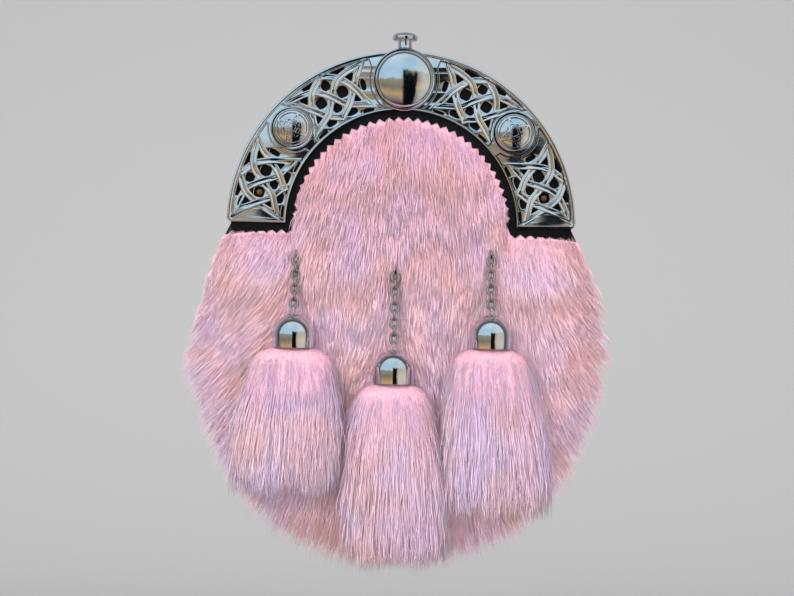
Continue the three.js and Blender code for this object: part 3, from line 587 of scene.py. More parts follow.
def offset(line, distance, loop=True):
    """A line moved sideways, to the left of the way it runs, with its corners kept sharp."""
    moved, count = [], len(line)
    for i, (x, z) in enumerate(line):
        before = line[i - 1] if loop or i else line[0]
        after = line[(i + 1) % count] if loop or i < count - 1 else line[-1]
        ways = [Vector((x - before[0], z - before[1])), Vector((after[0] - x, after[1] - z))]
        ways = [way.normalized() for way in ways if way.length > 1e-6]
        mean = sum(ways, Vector((0, 0))).normalized()
        spread = max(0.35, mean.dot(ways[0]))
        moved.append((x - mean.y * distance / spread, z + mean.x * distance / spread))
    return moved


def sweep_line(line, section, loop=True, lift=None):
    """Sweeps a section of (sideways, depth) pairs along places on the cantle's face."""
    sides = [offset(line, across, loop) for across, _ in section]
    lift = lift or [0] * len(line)
    rings = []
    for i in range(len(line)):
        rings.append([at(side[i][0], depth + lift[i], side[i][1]) for side, (_, depth) in zip(sides, section)])
    return swept(rings, loop)


# %% The plate with its windows
def cantle_outline():
    """The arch's edge, clockwise from its left foot, with the two outer feet rounded."""
    outer = arc(OUTER_R, -90, 90, 120)
    inner = arc(INNER_R, 90, -90, 90)
    feet = eased([(OUTER_R - 2 * CORNER_R, 0), (OUTER_R, 0), (OUTER_R, 2 * CORNER_R)], CORNER_R, 8)
    left = [(-x, z) for x, z in feet[1:-1]]
    right = [(x, z) for x, z in reversed(feet[1:-1])]
    arch = [(x, z) for x, z in outer if z > 1.2 * CORNER_R]
    return left + arch + right + inner


def pierced(panel, side, u, v, long, tall):
    """One hole of the plate, an oval with squarish ends whose two sizes are in millimetres."""
    middle = KNOT_R + v * KNOT_HALF
    half_u = math.degrees(long / 2 / middle) / panel["half"]
    half_v = tall / 2 / KNOT_HALF
    steps, power = 20, 2 / HOLE_SQUARENESS
    line = []
    for i in range(steps):
        c, s = math.cos(math.tau * (i + 0.5) / steps), math.sin(math.tau * (i + 0.5) / steps)
        across, up = math.copysign(abs(c) ** power, c), math.copysign(abs(s) ** power, s)
        line.append(knot_place(panel, side, u + half_u * across, v + half_v * up))
    return line


def plate():
    """The pierced plate as a closed mesh, in the plane of the curve it is made from."""
    curve = bpy.data.curves.new("plate", "CURVE")
    curve.dimensions = "2D"
    curve.fill_mode = "BOTH"
    curve.bevel_depth = 0.3 * MM
    curve.bevel_resolution = 1
    curve.offset = -0.3 * MM
    curve.extrude = (PLATE_FACE - PLATE_BACK) / 2 * MM - curve.bevel_depth
    lines = [cantle_outline()]
    lines += [pierced(panel, side, *hole) for panel, side, hole in product(PANELS, (-1, 1), HOLES)]
    for line in lines:
        spline = curve.splines.new("POLY")
        spline.points.add(len(line) - 1)
        spline.use_cyclic_u = True
        for point, (x, z) in zip(spline.points, line):
            point.co = (x * MM, z * MM, 0, 1)
    holder = bpy.data.objects.new("plate", curve)
    bpy.context.collection.objects.link(holder)
    mesh = bpy.data.meshes.new_from_object(holder.evaluated_get(bpy.context.evaluated_depsgraph_get()))
    bpy.data.objects.remove(holder)
    middle = at(0, (PLATE_BACK + PLATE_FACE) / 2, 0)
    mesh.transform(Matrix.Translation(middle) @ Matrix.Rotation(math.radians(90), 4, "X"))
    work = bmesh.new()
    work.from_mesh(mesh)
    bmesh.ops.remove_doubles(work, verts=work.verts, dist=1e-6)
    open_edges = sum(1 for edge in work.edges if len(edge.link_faces) != 2)
    points = [vert.co.copy() for vert in work.verts]
    work.verts.index_update()
    faces = [tuple(vert.index for vert in face.verts) for face in work.faces]
    work.free()
    print(f"plate: {len(faces)} faces, {open_edges} open edges")
    return points, faces


# %% Rim, skirt and frame lines
def rim():
    """The rounded bead round the plate's edge, wider on the outside of the arch."""
    line = cantle_outline()
    rings = []
    ends = [offset(line, 0), offset(line, -1)]
    for (x, z), (ix, iz) in zip(*ends):
        outside = smooth((math.hypot(x, z) - OUTER_R + 6) / 5)
        wide = INNER_RIM + (RIM - INNER_RIM) * outside
        round_top = [(0.16, 0.75), (0.4, 1), (0.7, 0.92), (0.93, 0.4)]
        section = [(0.02, PLATE_BACK + 0.05), (0.02, PLATE_FACE - 0.4)]
        section += [(across * wide, PLATE_FACE + up * RIM_RISE) for across, up in round_top]
        section += [(wide, PLATE_FACE - 0.1), (wide, PLATE_BACK + 0.05)]
        rings.append([at(x + (ix - x) * across, depth, z + (iz - z) * across) for across, depth in section])
    return swept(rings, loop=True)


def skirt():
    """The band that folds back from the outer edge over the leather."""
    section = eased([(OUTER_R - SKIRT_WALL, PLATE_BACK + 0.4), (OUTER_R - SKIRT_WALL, PLATE_FACE - SKIRT),
                     (OUTER_R, PLATE_FACE - SKIRT), (OUTER_R, PLATE_FACE - 0.5), (OUTER_R - SKIRT_WALL, PLATE_FACE)],
                    0.35, 2, loop=True)
    foot = 88.4
    turns = [foot * (i / 60 - 1) for i in range(121)]
    return swept([[at(*polar(r, a)[:1], depth, polar(r, a)[1]) for r, depth in section] for a in turns])


def frame_line(panel, side):
    """The thin raised line round a knot, which hugs the boss at its ends."""
    outer, inner = OUTER_R - RIM - 0.5, INNER_R + INNER_RIM - 0.25
    upper = panel is PANELS[0]
    near, reach = (0, 15.4) if upper else (BOSS_ANGLE, SIDE_BOSS_REACH)
    # Degrees round the cantle at which the line meets the outer arc and the inner one.
    start, end = (12.2, 45.4) if upper else (53.6, 86.6)
    low_start, low_end = (8.2, 46.2) if upper else (52.3, 88)
    line = hug(polar(KNOT_R, near), reach, polar(inner, low_start), polar(outer, start))
    line += arc(outer, start, end, 24)[1:-1]
    if upper:
        line += hug(polar(KNOT_R, BOSS_ANGLE), SIDE_BOSS_REACH, polar(outer, end), polar(inner, low_end))
    else:
        line += eased([polar(outer, 87.2), polar(KNOT_R, 83.6), polar(inner, low_end)], 1.0, 3)
    line += arc(inner, low_end, low_start, 20)[1:-1]
    if side < 0:
        line = [(-x, z) for x, z in reversed(line)]
    foot, top = PLATE_BACK + 0.3, PLATE_FACE + 0.5
    section = [(0.42, foot), (0.42, top - 0.4), (0.24, top), (-0.24, top), (-0.42, top - 0.4), (-0.42, foot)]
    return sweep_line(line, section)


def hug(middle, reach, start, end, steps=28):
    """A line from start to end that keeps clear of a round boss between them."""
    out = []
    for i in range(steps + 1):
        t = i / steps
        place = Vector((start[0] + (end[0] - start[0]) * t, start[1] + (end[1] - start[1]) * t))
        away = place - Vector(middle)
        if away.length < reach:
            place = Vector(middle) + away.normalized() * reach
        out.append(tuple(place))
    return out


# %% [markdown]
# ## The knots
#
# Each knot is one closed strap that meets itself at seven crossings and goes over and under in
# turn. Two short curves and their mirror images give its path. Its height is a cosine of how far
# it has come between two crossings, so the strap that is high at one is low at the next. The cast
# strap has two raised edges and a groove between them, which is what makes it read as a cord.

# %% Knot straps
CROSSING = 0.66
DIAGONAL = [(1, 1), (0.52, 0.77), (0.27, 0.56), (0, 0), (-0.27, -0.56), (-0.52, -0.77), (-1, -1)]
EDGE = [(-1, -1), (-0.83, -0.55), (-0.64, 0.05), (-0.38, 0.66), (0, 1.1)]
STRAP = 3.1
STRAP_RISE = 0.4
WEAVE = 0.32


def curved(points, steps):
    """A smooth line through points, with its two ends carried on."""
    line = [Vector(p) for p in points]
    line = [2 * line[0] - line[1]] + line + [2 * line[-1] - line[-2]]
    out = []
    for a, b, c, d in zip(line, line[1:], line[2:], line[3:]):
        for i in range(steps):
            t = i / steps
            out.append(0.5 * (2 * b + (c - a) * t + (2 * a - 5 * b + 4 * c - d) * t * t
                              + (3 * b - a - 3 * c + d) * t ** 3))
    return out + [line[-2]]


def strap_run(curve, mirror_u, mirror_v, backwards=False):
    """One stretch of strap as (u, v, height) triples."""
    sign = mirror_u if curve is DIAGONAL else mirror_u * mirror_v
    run = [(mirror_u * p.x, mirror_v * p.y, -sign * math.cos(math.pi * p.y / CROSSING)) for p in curved(curve, 7)]
    return run[::-1] if backwards else run


def knot(panel, side):
    runs = [strap_run(DIAGONAL, 1, 1), strap_run(EDGE, 1, 1), strap_run(EDGE, -1, 1, True),
            strap_run(DIAGONAL, -1, 1, True), strap_run(EDGE, 1, -1), strap_run(EDGE, -1, -1, True)]
    line, lift, corners = [], [], []
    for run in runs:
        corners.append(len(line))
        for u, v, height in run[:-1]:
            line.append(knot_place(panel, side, u, v))
            lift.append(STRAP_RISE + WEAVE * height)
    keep = clear_corners(line, corners, STRAP / 2)
    line, lift = [line[i] for i in keep], [lift[i] for i in keep]
    half = STRAP / 2
    foot = PLATE_BACK - PLATE_FACE + 0.2
    ridge = [(1, foot), (1, -0.35), (0.9, -0.08), (0.68, 0.04), (0.42, -0.06), (0.24, -0.34), (0.1, -0.42)]
    section = [(share * half, height) for share, height in ridge]
    section += [(-share * half, height) for share, height in reversed(ridge)]
    return sweep_strap(line, section, lift)


def clear_corners(line, corners, half):
    """Drops the points that lie inside the width of a sharp corner of a closed line."""
    count = len(line)
    dropped = set()
    for c in corners:
        here = Vector(line[c])
        before, after = Vector(line[c - 1]) - here, Vector(line[(c + 1) % count]) - here
        opening = before.angle(after)
        reach = half / max(0.2, math.tan(opening / 2))
        for way in (-1, 1):
            k = c + way
            while (Vector(line[k % count]) - here).length < reach * 1.05:
                dropped.add(k % count)
                k += way
    return [i for i in range(count) if i not in dropped]


def sweep_strap(line, section, lift):
    """Sweeps the strap's section. Its foot stays on the back of the plate, its top rises and falls."""
    sides = [offset(line, across) for across, _ in section]
    rings = []
    for i in range(len(line)):
        ring = []
        for side, (_, height) in zip(sides, section):
            depth = PLATE_BACK + 0.2 if height < -1 else PLATE_FACE + height + lift[i]
            ring.append(at(side[i][0], depth, side[i][1]))
        rings.append(ring)
    return swept(rings, loop=True)


shapes = [plate(), rim(), skirt()]
for side in (-1, 1):
    for panel in PANELS:
        shapes += [frame_line(panel, side), knot(panel, side)]
cantle = solid("cantle_casting", shapes, cast_chrome, 32)
declare(cantle, "chrome", "cantle")

# %% [markdown]
# ## Bosses
#
# Three polished domes hide the screws that hold the cantle. The middle one is a plain mirror. The
# two at the sides carry a shallow cast ornament, a ring with two crossed pointed loops and a
# circle woven through them. Each dome is turned like a lathe piece, and the ornament is a set of
# fine beads swept over it, closer to the dome than a hair's breadth at their edges.

# %% Bosses
FLANGE = 1.4
BOSS_SEAT = PLATE_FACE + RIM_RISE + 0.3
DOME_FOOT = 1.2
DOME_RISE = 0.34


def on_boss(middle):
    """Turns a boss's own x, y and height into a place on the cantle."""
    return lambda x, y, height: at(middle[0] + x, BOSS_SEAT + height, middle[1] + y)


def dome_height(radius, distance):
    share = clamp(distance / radius)
    return DOME_FOOT + DOME_RISE * radius * math.sqrt(1 - share * share)


def boss_dome(radius, middle, steps):
    edge = radius + FLANGE
    profile = [(0, 0), (edge - 0.15, 0), (edge, 0.2), (edge, 0.6), (edge - 0.25, 0.9), (edge - 0.6, 0.95),
               (radius + 0.35, 0.8), (radius + 0.1, 0.85), (radius, 1.05)]
    rings = 14
    for i in range(rings + 1):
        a = math.radians(90 * i / rings)
        profile.append((0 if i == rings else radius * math.cos(a), DOME_FOOT + DOME_RISE * radius * math.sin(a)))
    return turned(profile, steps, on_boss(middle))


def bead(line, radius, middle, wide, high):
    """A half-round bead on a boss's dome, round (x, y) places measured from its middle."""
    half = [(wide / 2, -0.2), (wide / 2, 0.02), (wide / 4, high)]
    section = half + [(-across, up) for across, up in reversed(half)]
    sides = [offset(line, across) for across, _ in section]
    place = on_boss(middle)
    rings = []
    for i in range(len(line)):
        ring = []
        for side, (_, up) in zip(sides, section):
            x, y = side[i]
            ring.append(place(x, y, dome_height(radius, math.hypot(x, y)) + up))
        rings.append(ring)
    return swept(rings, loop=True)


def pointed_loop(radius, heading, wide):
    """Two arcs that meet in points on opposite sides of the dome."""
    out = []
    for sign in (1, -1):
        for i in range(16):
            t = i / 16
            along, across = sign * radius * (1 - 2 * t), sign * wide * math.sin(math.pi * t)
            a = math.radians(heading)
            out.append((along * math.cos(a) - across * math.sin(a), along * math.sin(a) + across * math.cos(a)))
    return out


def ornament(radius, middle, mirror):
    """A ring and a circle woven through two crossed pointed loops."""
    shapes = []
    for share, wide in ((0.87, 1.0), (0.5, 1.15)):
        turns = [math.tau * k / 40 for k in range(40)]
        ring = [(share * radius * math.cos(a), share * radius * math.sin(a)) for a in turns]
        shapes.append(bead(ring, radius, middle, wide, 0.8))
    for heading in (68, 152):
        turn = heading if mirror > 0 else 180 - heading
        line = pointed_loop(0.84 * radius, turn, 0.24 * radius)
        shapes.append(bead(line, radius, middle, 1.15, 0.9))
    return shapes


for name, (radius, angle) in BOSSES.items():
    middle = polar(KNOT_R, angle)
    piece = solid(name + "_dome", [boss_dome(radius, middle, 72)], mirror_chrome, 40)
    declare(piece, "chrome", name)
    if angle:
        shapes = ornament(radius, middle, -math.copysign(1, angle))
        piece = solid(name + "_ornament", shapes, cast_chrome, 40)
        declare(piece, "chrome")

# %% [markdown]
# ## The stud and the rivets
#
# A mushroom-headed stud stands on the top of the arch, and a small brass rivet shows through one
# hole of each lower knot. Both are turned pieces with softly rounded edges, which catch the thin
# bright lines that tell the eye a metal edge was tumbled after it was cut.

# %% Stud and rivets
knob_low, knob_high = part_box("cantle_knob")
knob_middle = (knob_low + knob_high) / 2
KNOB_TALL = (knob_high[2] - knob_low[2]) / MM
KNOB_R = (knob_high[0] - knob_low[0]) / 2 / MM
KNOB_STEM = 3.2


def on_top(x, y, height):
    return Vector((knob_middle[0] + x * MM, knob_middle[1] + y * MM, knob_low[2] + height * MM))


under = KNOB_TALL - 3.6
profile = eased([(0, 0), (KNOB_STEM + 0.9, 0), (KNOB_STEM + 0.9, 0.7), (KNOB_STEM, 1.2),
                 (KNOB_STEM - 0.2, under), (KNOB_R - 0.5, under), (KNOB_R, under + 0.6),
                 (KNOB_R, under + 1.9), (0.78 * KNOB_R, KNOB_TALL - 0.5),
                 (0.4 * KNOB_R, KNOB_TALL - 0.05), (0, KNOB_TALL)], 0.3, 3)
knob = solid("cantle_stud", [turned(profile, 48, on_top)], mirror_chrome, 40)
declare(knob, "chrome", "cantle_knob")

for name in ("fixing_rivet_left", "fixing_rivet_right"):
    low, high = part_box(name)
    middle, radius, tall = (low + high) / 2, (high[0] - low[0]) / 2 / MM, (high[1] - low[1]) / MM

    def on_facing(x, y, height, middle=middle, high=high):
        return Vector((middle[0] + x * MM, high[1] - height * MM, middle[2] + y * MM))

    profile = eased([(0, 0), (radius, 0), (radius, 0.35 * tall), (0.75 * radius, 0.8 * tall), (0, tall)], 0.25, 3)
    piece = solid(name + "_dome", [turned(profile, 24, on_facing)], aged_brass, 40)
    declare(piece, "brass", name)

# %% [markdown]
# ## The leather pouch
#
# The pouch is three pieces of leather: a flat back, a strip round its sides and bottom, and the
# skin that carries the fur. The same outline serves all three, an arch above and a squarish
# ellipse below, and a rule says how far the front stands from the back.

# %% Outline and depths of the pouch
SQUARENESS = 2.2
BULGE = 6
SWELL = 6
HIDE = 2
HIDE_TOP = FACING_BACK - 0.3 - HIDE
PRESS = 6
rise = (1 - (ARCH_R / HALF_WIDTH) ** SQUARENESS) ** (1 / SQUARENESS)
MIDDLE = -DROP * rise / (1 + rise)
HALF_HEIGHT = DROP + MIDDLE
TOOTH = 1.9
TEETH_R = INNER_R - 4.5
SHOULDER = math.asin((-MIDDLE / HALF_HEIGHT) ** (SQUARENESS / 2))


def body_point(turn, grow=0.0):
    c, s = math.cos(turn), math.sin(turn)
    power = 2 / SQUARENESS
    return (math.copysign(abs(c) ** power, c) * (HALF_WIDTH + grow),
            MIDDLE + math.copysign(abs(s) ** power, s) * (HALF_HEIGHT + grow))


def lower_edge(steps, grow=0.0):
    """Places round the lower edge, from the arch's right foot down and up to its left foot."""
    return [body_point(SHOULDER - (math.pi + 2 * SHOULDER) * i / steps, grow) for i in range(steps + 1)]


def pouch_outline(grow=0.0):
    return arc(ARCH_R + grow, -90, 90, 60)[1:-1] + lower_edge(110, grow)


def clear_of_facing(x, z):
    """How far a place lies from the flat leather facing, inside the arch or below its feet."""
    if z > 0:
        return max(0.0, TEETH_R - math.hypot(x, z))
    return math.hypot(max(0.0, TEETH_R - abs(x)), max(0.0, FACING_LOW - z))


def hide_back(x, z):
    dome = max(0.0, 1 - (x / HALF_WIDTH) ** 2 - ((z - MIDDLE) / HALF_HEIGHT) ** 2)
    free = smooth((clear_of_facing(x, z) - PRESS) / (0.25 * ARCH_R))
    return HIDE_TOP + SWELL * smooth(-z / DROP) + BULGE * math.sqrt(dome) * free


def hide_front(x, z):
    return hide_back(x, z) + HIDE


# %% Back, gusset and front
def edge_rounded(depth, amount, toward):
    """A depth that eases back at the rim, so that a sheet's edge is soft."""
    def eased_depth(x, z):
        share = max(math.hypot(x, max(z, 0.0)) / ARCH_R if z > 0 else 0.0,
                    math.hypot(x / HALF_WIDTH, (z - MIDDLE) / HALF_HEIGHT) if z <= 0 else 0.0)
        return depth(x, z) + toward * amount * smooth((share - 0.985) / 0.015)
    return eased_depth


SHARES = [1, 0.995, 0.985, 0.96, 0.9, 0.8, 0.68, 0.55, 0.42, 0.3, 0.15]
back = sheet(pouch_outline(), (0, MIDDLE), SHARES, edge_rounded(lambda x, z: 0.0, 0.5, 1),
             edge_rounded(lambda x, z: BACK_LEATHER, 0.5, -1))
back_piece = solid("back_leather", [back], pouch_leather, 50)
declare(back_piece, "black_leather", "back_panel")

front = sheet(pouch_outline(), (0, MIDDLE), SHARES, hide_back, hide_front)
front_piece = solid("hide", [front], pouch_leather, 50)
declare(front_piece, "black_leather", "front_panel")


def gusset():
    """The strip between the back and the front, folded outwards a little between its seams."""
    rings = []
    for (x, z), (ix, iz) in zip(lower_edge(110), lower_edge(110, -HIDE)):
        near, far = BACK_LEATHER + 0.3, hide_back(x, z) - 0.3
        ring = []
        for (px, pz), order in (((x, z), 1), ((ix, iz), -1)):
            column = [near + (far - near) * k / 6 for k in range(7)][::order]
            for depth in column:
                dip = 0.9 * math.sin(math.pi * (depth - near) / (far - near))
                way = Vector((x, z - MIDDLE)).normalized() * dip
                ring.append(at(px - way.x, depth, pz - way.y))
        rings.append(ring)
    return swept(rings)


gusset_piece = solid("gusset", [gusset()], pouch_leather, 50)
declare(gusset_piece, "black_leather", "side_gusset")

# %% [markdown]
# ## Geometry Nodes, once
#
# The stitches, the chain links and the hair are all the same idea: many copies of a small shape,
# each placed and turned by what it sits on. A tree is built in code with named inputs, put on a
# guide object, and its result is kept as a plain mesh so that it exports like anything else.

# %% Making and applying a tree
def new_tree(name, inputs):
    """A Geometry Nodes tree with a geometry in and out, and the named inputs besides."""
    tree = bpy.data.node_groups.new(name, "GeometryNodeTree")
    tree.interface.new_socket("Geometry", in_out="INPUT", socket_type="NodeSocketGeometry")
    for label, kind in inputs.items():
        tree.interface.new_socket(label, in_out="INPUT", socket_type="NodeSocket" + kind)
    tree.interface.new_socket("Geometry", in_out="OUTPUT", socket_type="NodeSocketGeometry")
    start = tree.nodes.new("NodeGroupInput")
    return tree, start.outputs


def finish_tree(tree, instances, material):
    """Ends a tree: real meshes instead of instances, and the material on them."""
    real = add(tree, "GeometryNodeRealizeInstances", {"Geometry": instances})
    painted = add(tree, "GeometryNodeSetMaterial", {"Geometry": real.outputs[0], "Material": material})
    add(tree, "NodeGroupOutput", {"Geometry": painted.outputs[0]})


def grown(name, guide, tree, values):
    """Runs a tree on a guide object and keeps what it makes as a plain mesh object."""
    modifier = guide.modifiers.new(tree.name, "NODES")
    modifier.node_group = tree
    for item in tree.interface.items_tree:
        if item.in_out == "INPUT" and item.name in values:
            modifier[item.identifier] = values[item.name]
    graph = bpy.context.evaluated_depsgraph_get()
    result = guide.evaluated_get(graph)
    mesh = bpy.data.meshes.new_from_object(result, preserve_all_data_layers=True, depsgraph=graph)
    guide.modifiers.remove(modifier)
    bpy.data.objects.remove(guide)
    piece = bpy.data.objects.new(name, mesh)
    bpy.context.collection.objects.link(piece)
    return piece


def stored(tree, name, kind="FLOAT_VECTOR"):
    """What a guide's points keep under a name."""
    return add(tree, "GeometryNodeInputNamedAttribute", {"Name": name}, data_type=kind).outputs[0]


def copied(tree, points, shape, primary, secondary):
    """Copies of a shape on points, its primary axis along their way and the secondary one outwards."""
    turn = add(tree, "FunctionNodeAxesToRotation", {0: stored(tree, "way"), 1: stored(tree, "out")},
               primary_axis=primary, secondary_axis=secondary)
    copies = add(tree, "GeometryNodeInstanceOnPoints", {"Points": points, "Instance": shape,
                                                        "Rotation": turn.outputs[0]})
    return copies.outputs[0]


def guide_mesh(name, points, faces=(), **attributes):
    """A mesh object with a value or a vector stored on each of its points."""
    mesh = bpy.data.meshes.new(name)
    mesh.from_pydata([tuple(p) for p in points], [], list(faces))
    for label, values in attributes.items():
        vector = not isinstance(values[0], (int, float))
        layer = mesh.attributes.new(label, "FLOAT_VECTOR" if vector else "FLOAT", "POINT")
        flat = [c for value in values for c in value] if vector else values
        layer.data.foreach_set("vector" if vector else "value", flat)
    piece = bpy.data.objects.new(name, mesh)
    bpy.context.collection.objects.link(piece)
    return piece


# %% [markdown]
# ## Stitches and belt loops
#
# A saddler sews the back to the gusset with waxed linen, about three stitches to the centimetre.
# Each stitch is a short plump bar that dips at its ends, so one small mesh is placed along the
# seam and turned to follow it.

# %% Stitches along a line
STITCH_PITCH = 3.4
STITCH_LONG = 2.5
STITCH_THICK = 0.7


def stitch_tree():
    tree, given = new_tree("stitches", {"Stitch": "Object", "Material": "Material"})
    shape = add(tree, "GeometryNodeObjectInfo", {"Object": given["Stitch"]})
    copies = copied(tree, given["Geometry"], shape.outputs["Geometry"], "X", "Z")
    finish_tree(tree, copies, given["Material"])
    return tree


def stitch_shape():
    rings = []
    for i in range(7):
        t = i / 6
        fat = STITCH_THICK / 2 * math.sin(math.pi * (0.12 + 0.76 * t))
        x, lift = STITCH_LONG * (t - 0.5), 0.22 * math.sin(math.pi * t) - 0.05
        turns = [math.tau * k / 6 for k in range(6)]
        rings.append([Vector((x, fat * math.cos(a), lift + 0.6 * fat * math.sin(a))) * MM for a in turns])
    return solid("stitch", [swept(rings)], waxed_thread, 60)


stitches_of = stitch_tree()
stitch = stitch_shape()


def evenly(line, pitch):
    """Places at an even pitch along a line of points, with the way it runs at each."""
    out, due = [], pitch / 2
    for a, b in zip(line, line[1:]):
        step = b - a
        while due < step.length:
            out.append((a + step.normalized() * due, step.normalized()))
            due += pitch
        due -= step.length
    return out


def sewn(name, line, out, *, pitch=STITCH_PITCH):
    places = evenly(line, pitch * MM)
    ways = [tuple(way) for _, way in places]
    guide = guide_mesh(name, [place for place, _ in places], way=ways, out=[tuple(out)] * len(places))
    piece = grown(name, guide, stitches_of, {"Stitch": stitch, "Material": waxed_thread})
    declare(piece, "black_leather")
    print(f"{name}: {len(places)} stitches")


inset = 0.965
proud_by = Vector((0, 0.0001, 0))
seam = [at(inset * x, 0, MIDDLE + inset * (z - MIDDLE)) + proud_by for x, z in lower_edge(160)]
sewn("back_seam_stitches", seam, Vector((0, 1, 0)))

# %% Belt loops
LOOP_WIDE = 16
for name in ("strap_loop_left", "strap_loop_right"):
    low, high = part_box(name)
    centre = (low + high) / 2
    tall, proud, thick = (high[2] - low[2]) / 2 / MM, (high[1] - low[1]) / MM, 2.0
    foot = tall - 7
    outer = [(-tall, 0), (-tall, thick), (-foot - 0.5, thick), (-foot + 2, proud), (foot - 2, proud),
             (foot + 0.5, thick), (tall, thick), (tall, 0)]
    inside = foot - thick
    inner = [(inside + 0.2, 0), (inside - 1.4, proud - thick), (1.4 - inside, proud - thick), (-0.2 - inside, 0)]
    section = eased(outer, 1.2, 4, loop=True) + eased(inner, 1.0, 4, loop=True)
    rings = []
    for share in (-1, -0.97, -0.9, 0.9, 0.97, 1):
        shrink = 0.25 if abs(share) == 1 else 0.08 if abs(share) > 0.95 else 0
        x = centre[0] + share * LOOP_WIDE / 2 * MM
        rings.append([Vector((x, low[1] + clamp(y, shrink, proud - shrink) * MM, centre[2] + z * MM))
                      for z, y in section])
    piece = solid(name + "_leather", [swept(rings)], pouch_leather, 40)
    declare(piece, "black_leather", name)
    for end in (-1, 1):
        z = centre[2] + end * (tall - 2.5) * MM
        y, reach = low[1] + (thick + 0.1) * MM, (LOOP_WIDE / 2 - 2) * MM
        line = [Vector((centre[0] + s * reach, y, z)) for s in (-1, 1)]
        sewn(f"{name}_stitches_{'low' if end < 0 else 'high'}", line, Vector((0, 1, 0)), pitch=3.0)

# %% [markdown]
# ## Chains and bells
#
# A link is a ring of wire squeezed to an oval, and every second one is turned a quarter about the
# chain. The frame holds a solid for each link, so its middle is where the link goes. The tree bends
# the wire round a rounded rectangle and copies it onto those middles.

# %% Chains
DROPS = ("left", "centre", "right")


def chain_tree():
    tree, given = new_tree("chain", {"Length": "Float", "Width": "Float", "Wire": "Float", "Material": "Material"})
    bent = add(tree, "GeometryNodeCurvePrimitiveQuadrilateral", {"Width": given["Width"],
                                                                 "Height": given["Length"]})
    corner = add(tree, "ShaderNodeMath", {0: given["Width"], 1: 0.499}, operation="MULTIPLY")
    oval = add(tree, "GeometryNodeFilletCurve", {"Curve": bent.outputs[0], "Radius": corner.outputs[0],
                                                 "Count": 7}, mode="POLY")
    half = add(tree, "ShaderNodeMath", {0: given["Wire"], 1: 0.5}, operation="MULTIPLY")
    section = add(tree, "GeometryNodeCurvePrimitiveCircle", {"Resolution": 8, "Radius": half.outputs[0]})
    wire = add(tree, "GeometryNodeCurveToMesh", {"Curve": oval.outputs[0], "Profile Curve": section.outputs[0]})
    copies = copied(tree, given["Geometry"], wire.outputs[0], "Y", "X")
    soft = add(tree, "GeometryNodeSetShadeSmooth", {0: copies, "Shade Smooth": True})
    finish_tree(tree, soft.outputs[0], given["Material"])
    return tree


links_of = chain_tree()
LINK_WIRE = 1.3
LINK = {"Length": (5.8 - LINK_WIRE) * MM, "Width": (4.4 - LINK_WIRE) * MM, "Wire": LINK_WIRE * MM}


def middle_of(node):
    low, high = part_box(node)
    return (Vector(low) + Vector(high)) / 2


def links_in(drop):
    """The frame's links of one chain, from the eye down."""
    links = [node for node in frame["nodes"] if node.startswith(f"chain_{drop}_link_")]
    return sorted(links, key=lambda node: int(node.split("_")[-1]))


for drop in DROPS:
    nodes = links_in(drop)
    middles = [middle_of(node) for node in nodes]
    way = (middles[-1] - middles[0]).normalized()
    flat, deep = Vector((1, 0, 0)), Vector((0, 1, 0))
    guide = guide_mesh(f"chain_{drop}", middles, way=[tuple(way)] * len(middles),
                       out=[tuple(deep if i % 2 else flat) for i in range(len(middles))])
    chain = grown(f"chain_{drop}", guide, links_of, {**LINK, "Material": wire_chrome})
    declare(chain, "chrome", *nodes)

# %% [markdown]
# The bell is a deep cap pressed from sheet, with an eye on its crown and a rolled lip. It is
# hollow, and the head of the tassel is pushed up inside it.

# %% Bells
BELL_R = 9.2
BELL_TALL = 14.8
BELL_WALL = 0.9
EYE_R = 1.9
EYE_WIRE = 0.9


def bell(drop):
    low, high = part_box(f"bell_{drop}")
    axis = Vector(((low[0] + high[0]) / 2, (low[1] + high[1]) / 2, low[2]))

    def hung(x, y, height):
        return axis + Vector((x, y, height)) * MM

    outer, inner = [], []
    for i in range(13):
        a = math.radians(90 * i / 12)
        outer.append((BELL_R * math.sin(a), BELL_TALL - BELL_R + BELL_R * math.cos(a)))
        room = BELL_R - BELL_WALL
        inner.append((room * math.sin(a), BELL_TALL - BELL_R + room * math.cos(a)))
    outer[0], inner[0] = (0, BELL_TALL), (0, BELL_TALL - BELL_WALL)
    lip = [(BELL_R, 0.3), (BELL_R - 0.08, 0.08), (BELL_R - 0.25, 0.0), (BELL_R - BELL_WALL, 0.1)]
    cap = turned(outer + lip + inner[::-1], 56, hung)
    steps_down = [(0, -0.4), (2.6, -0.5), (2.7, -0.1), (1.2, 0.35), (0, 0.4)]
    collar = turned([(radius, BELL_TALL + up) for radius, up in steps_down], 24, hung)
    eye_middle = Vector((axis.x, axis.y, high[2] - (EYE_R + EYE_WIRE / 2) * MM))
    way, side = Vector((1, 0, 0)), Vector((0, 1, 0))
    if len(links_in(drop)) % 2:
        way, side = side, way
    half = EYE_WIRE / 2
    rings = []
    for i in range(20):
        a = math.tau * i / 20
        out = way * math.cos(a) + Vector((0, 0, 1)) * math.sin(a)
        turns = [math.tau * k / 8 for k in range(8)]
        rings.append([eye_middle + (out * (EYE_R + half * math.cos(b)) + side * half * math.sin(b)) * MM
                      for b in turns])
    piece = solid(f"bell_{drop}_cap", [cap, collar, swept(rings, loop=True)], mirror_chrome, 40)
    declare(piece, "chrome", f"bell_{drop}")
    return axis


bell_foot = {drop: bell(drop) for drop in DROPS}

# %% [markdown]
# ## Hair
#
# Fur can be combed particles, hair curves or plain meshes. Only a mesh survives every export, so
# each hair here is a thin bent spike of a few triangles, and the tree scatters copies of it over a
# guide surface. The guide's points say which way the hair is combed, which way is up out of the
# skin and how long the hair is. The tree leans each hair towards the middle of its own tuft, as
# dyed and brushed rabbit fur does.

# %% One hair
HAIR_BENDS = ((0.05, 0.02), (0.09, -0.03), (0.13, 0.05), (0.07, -0.06))


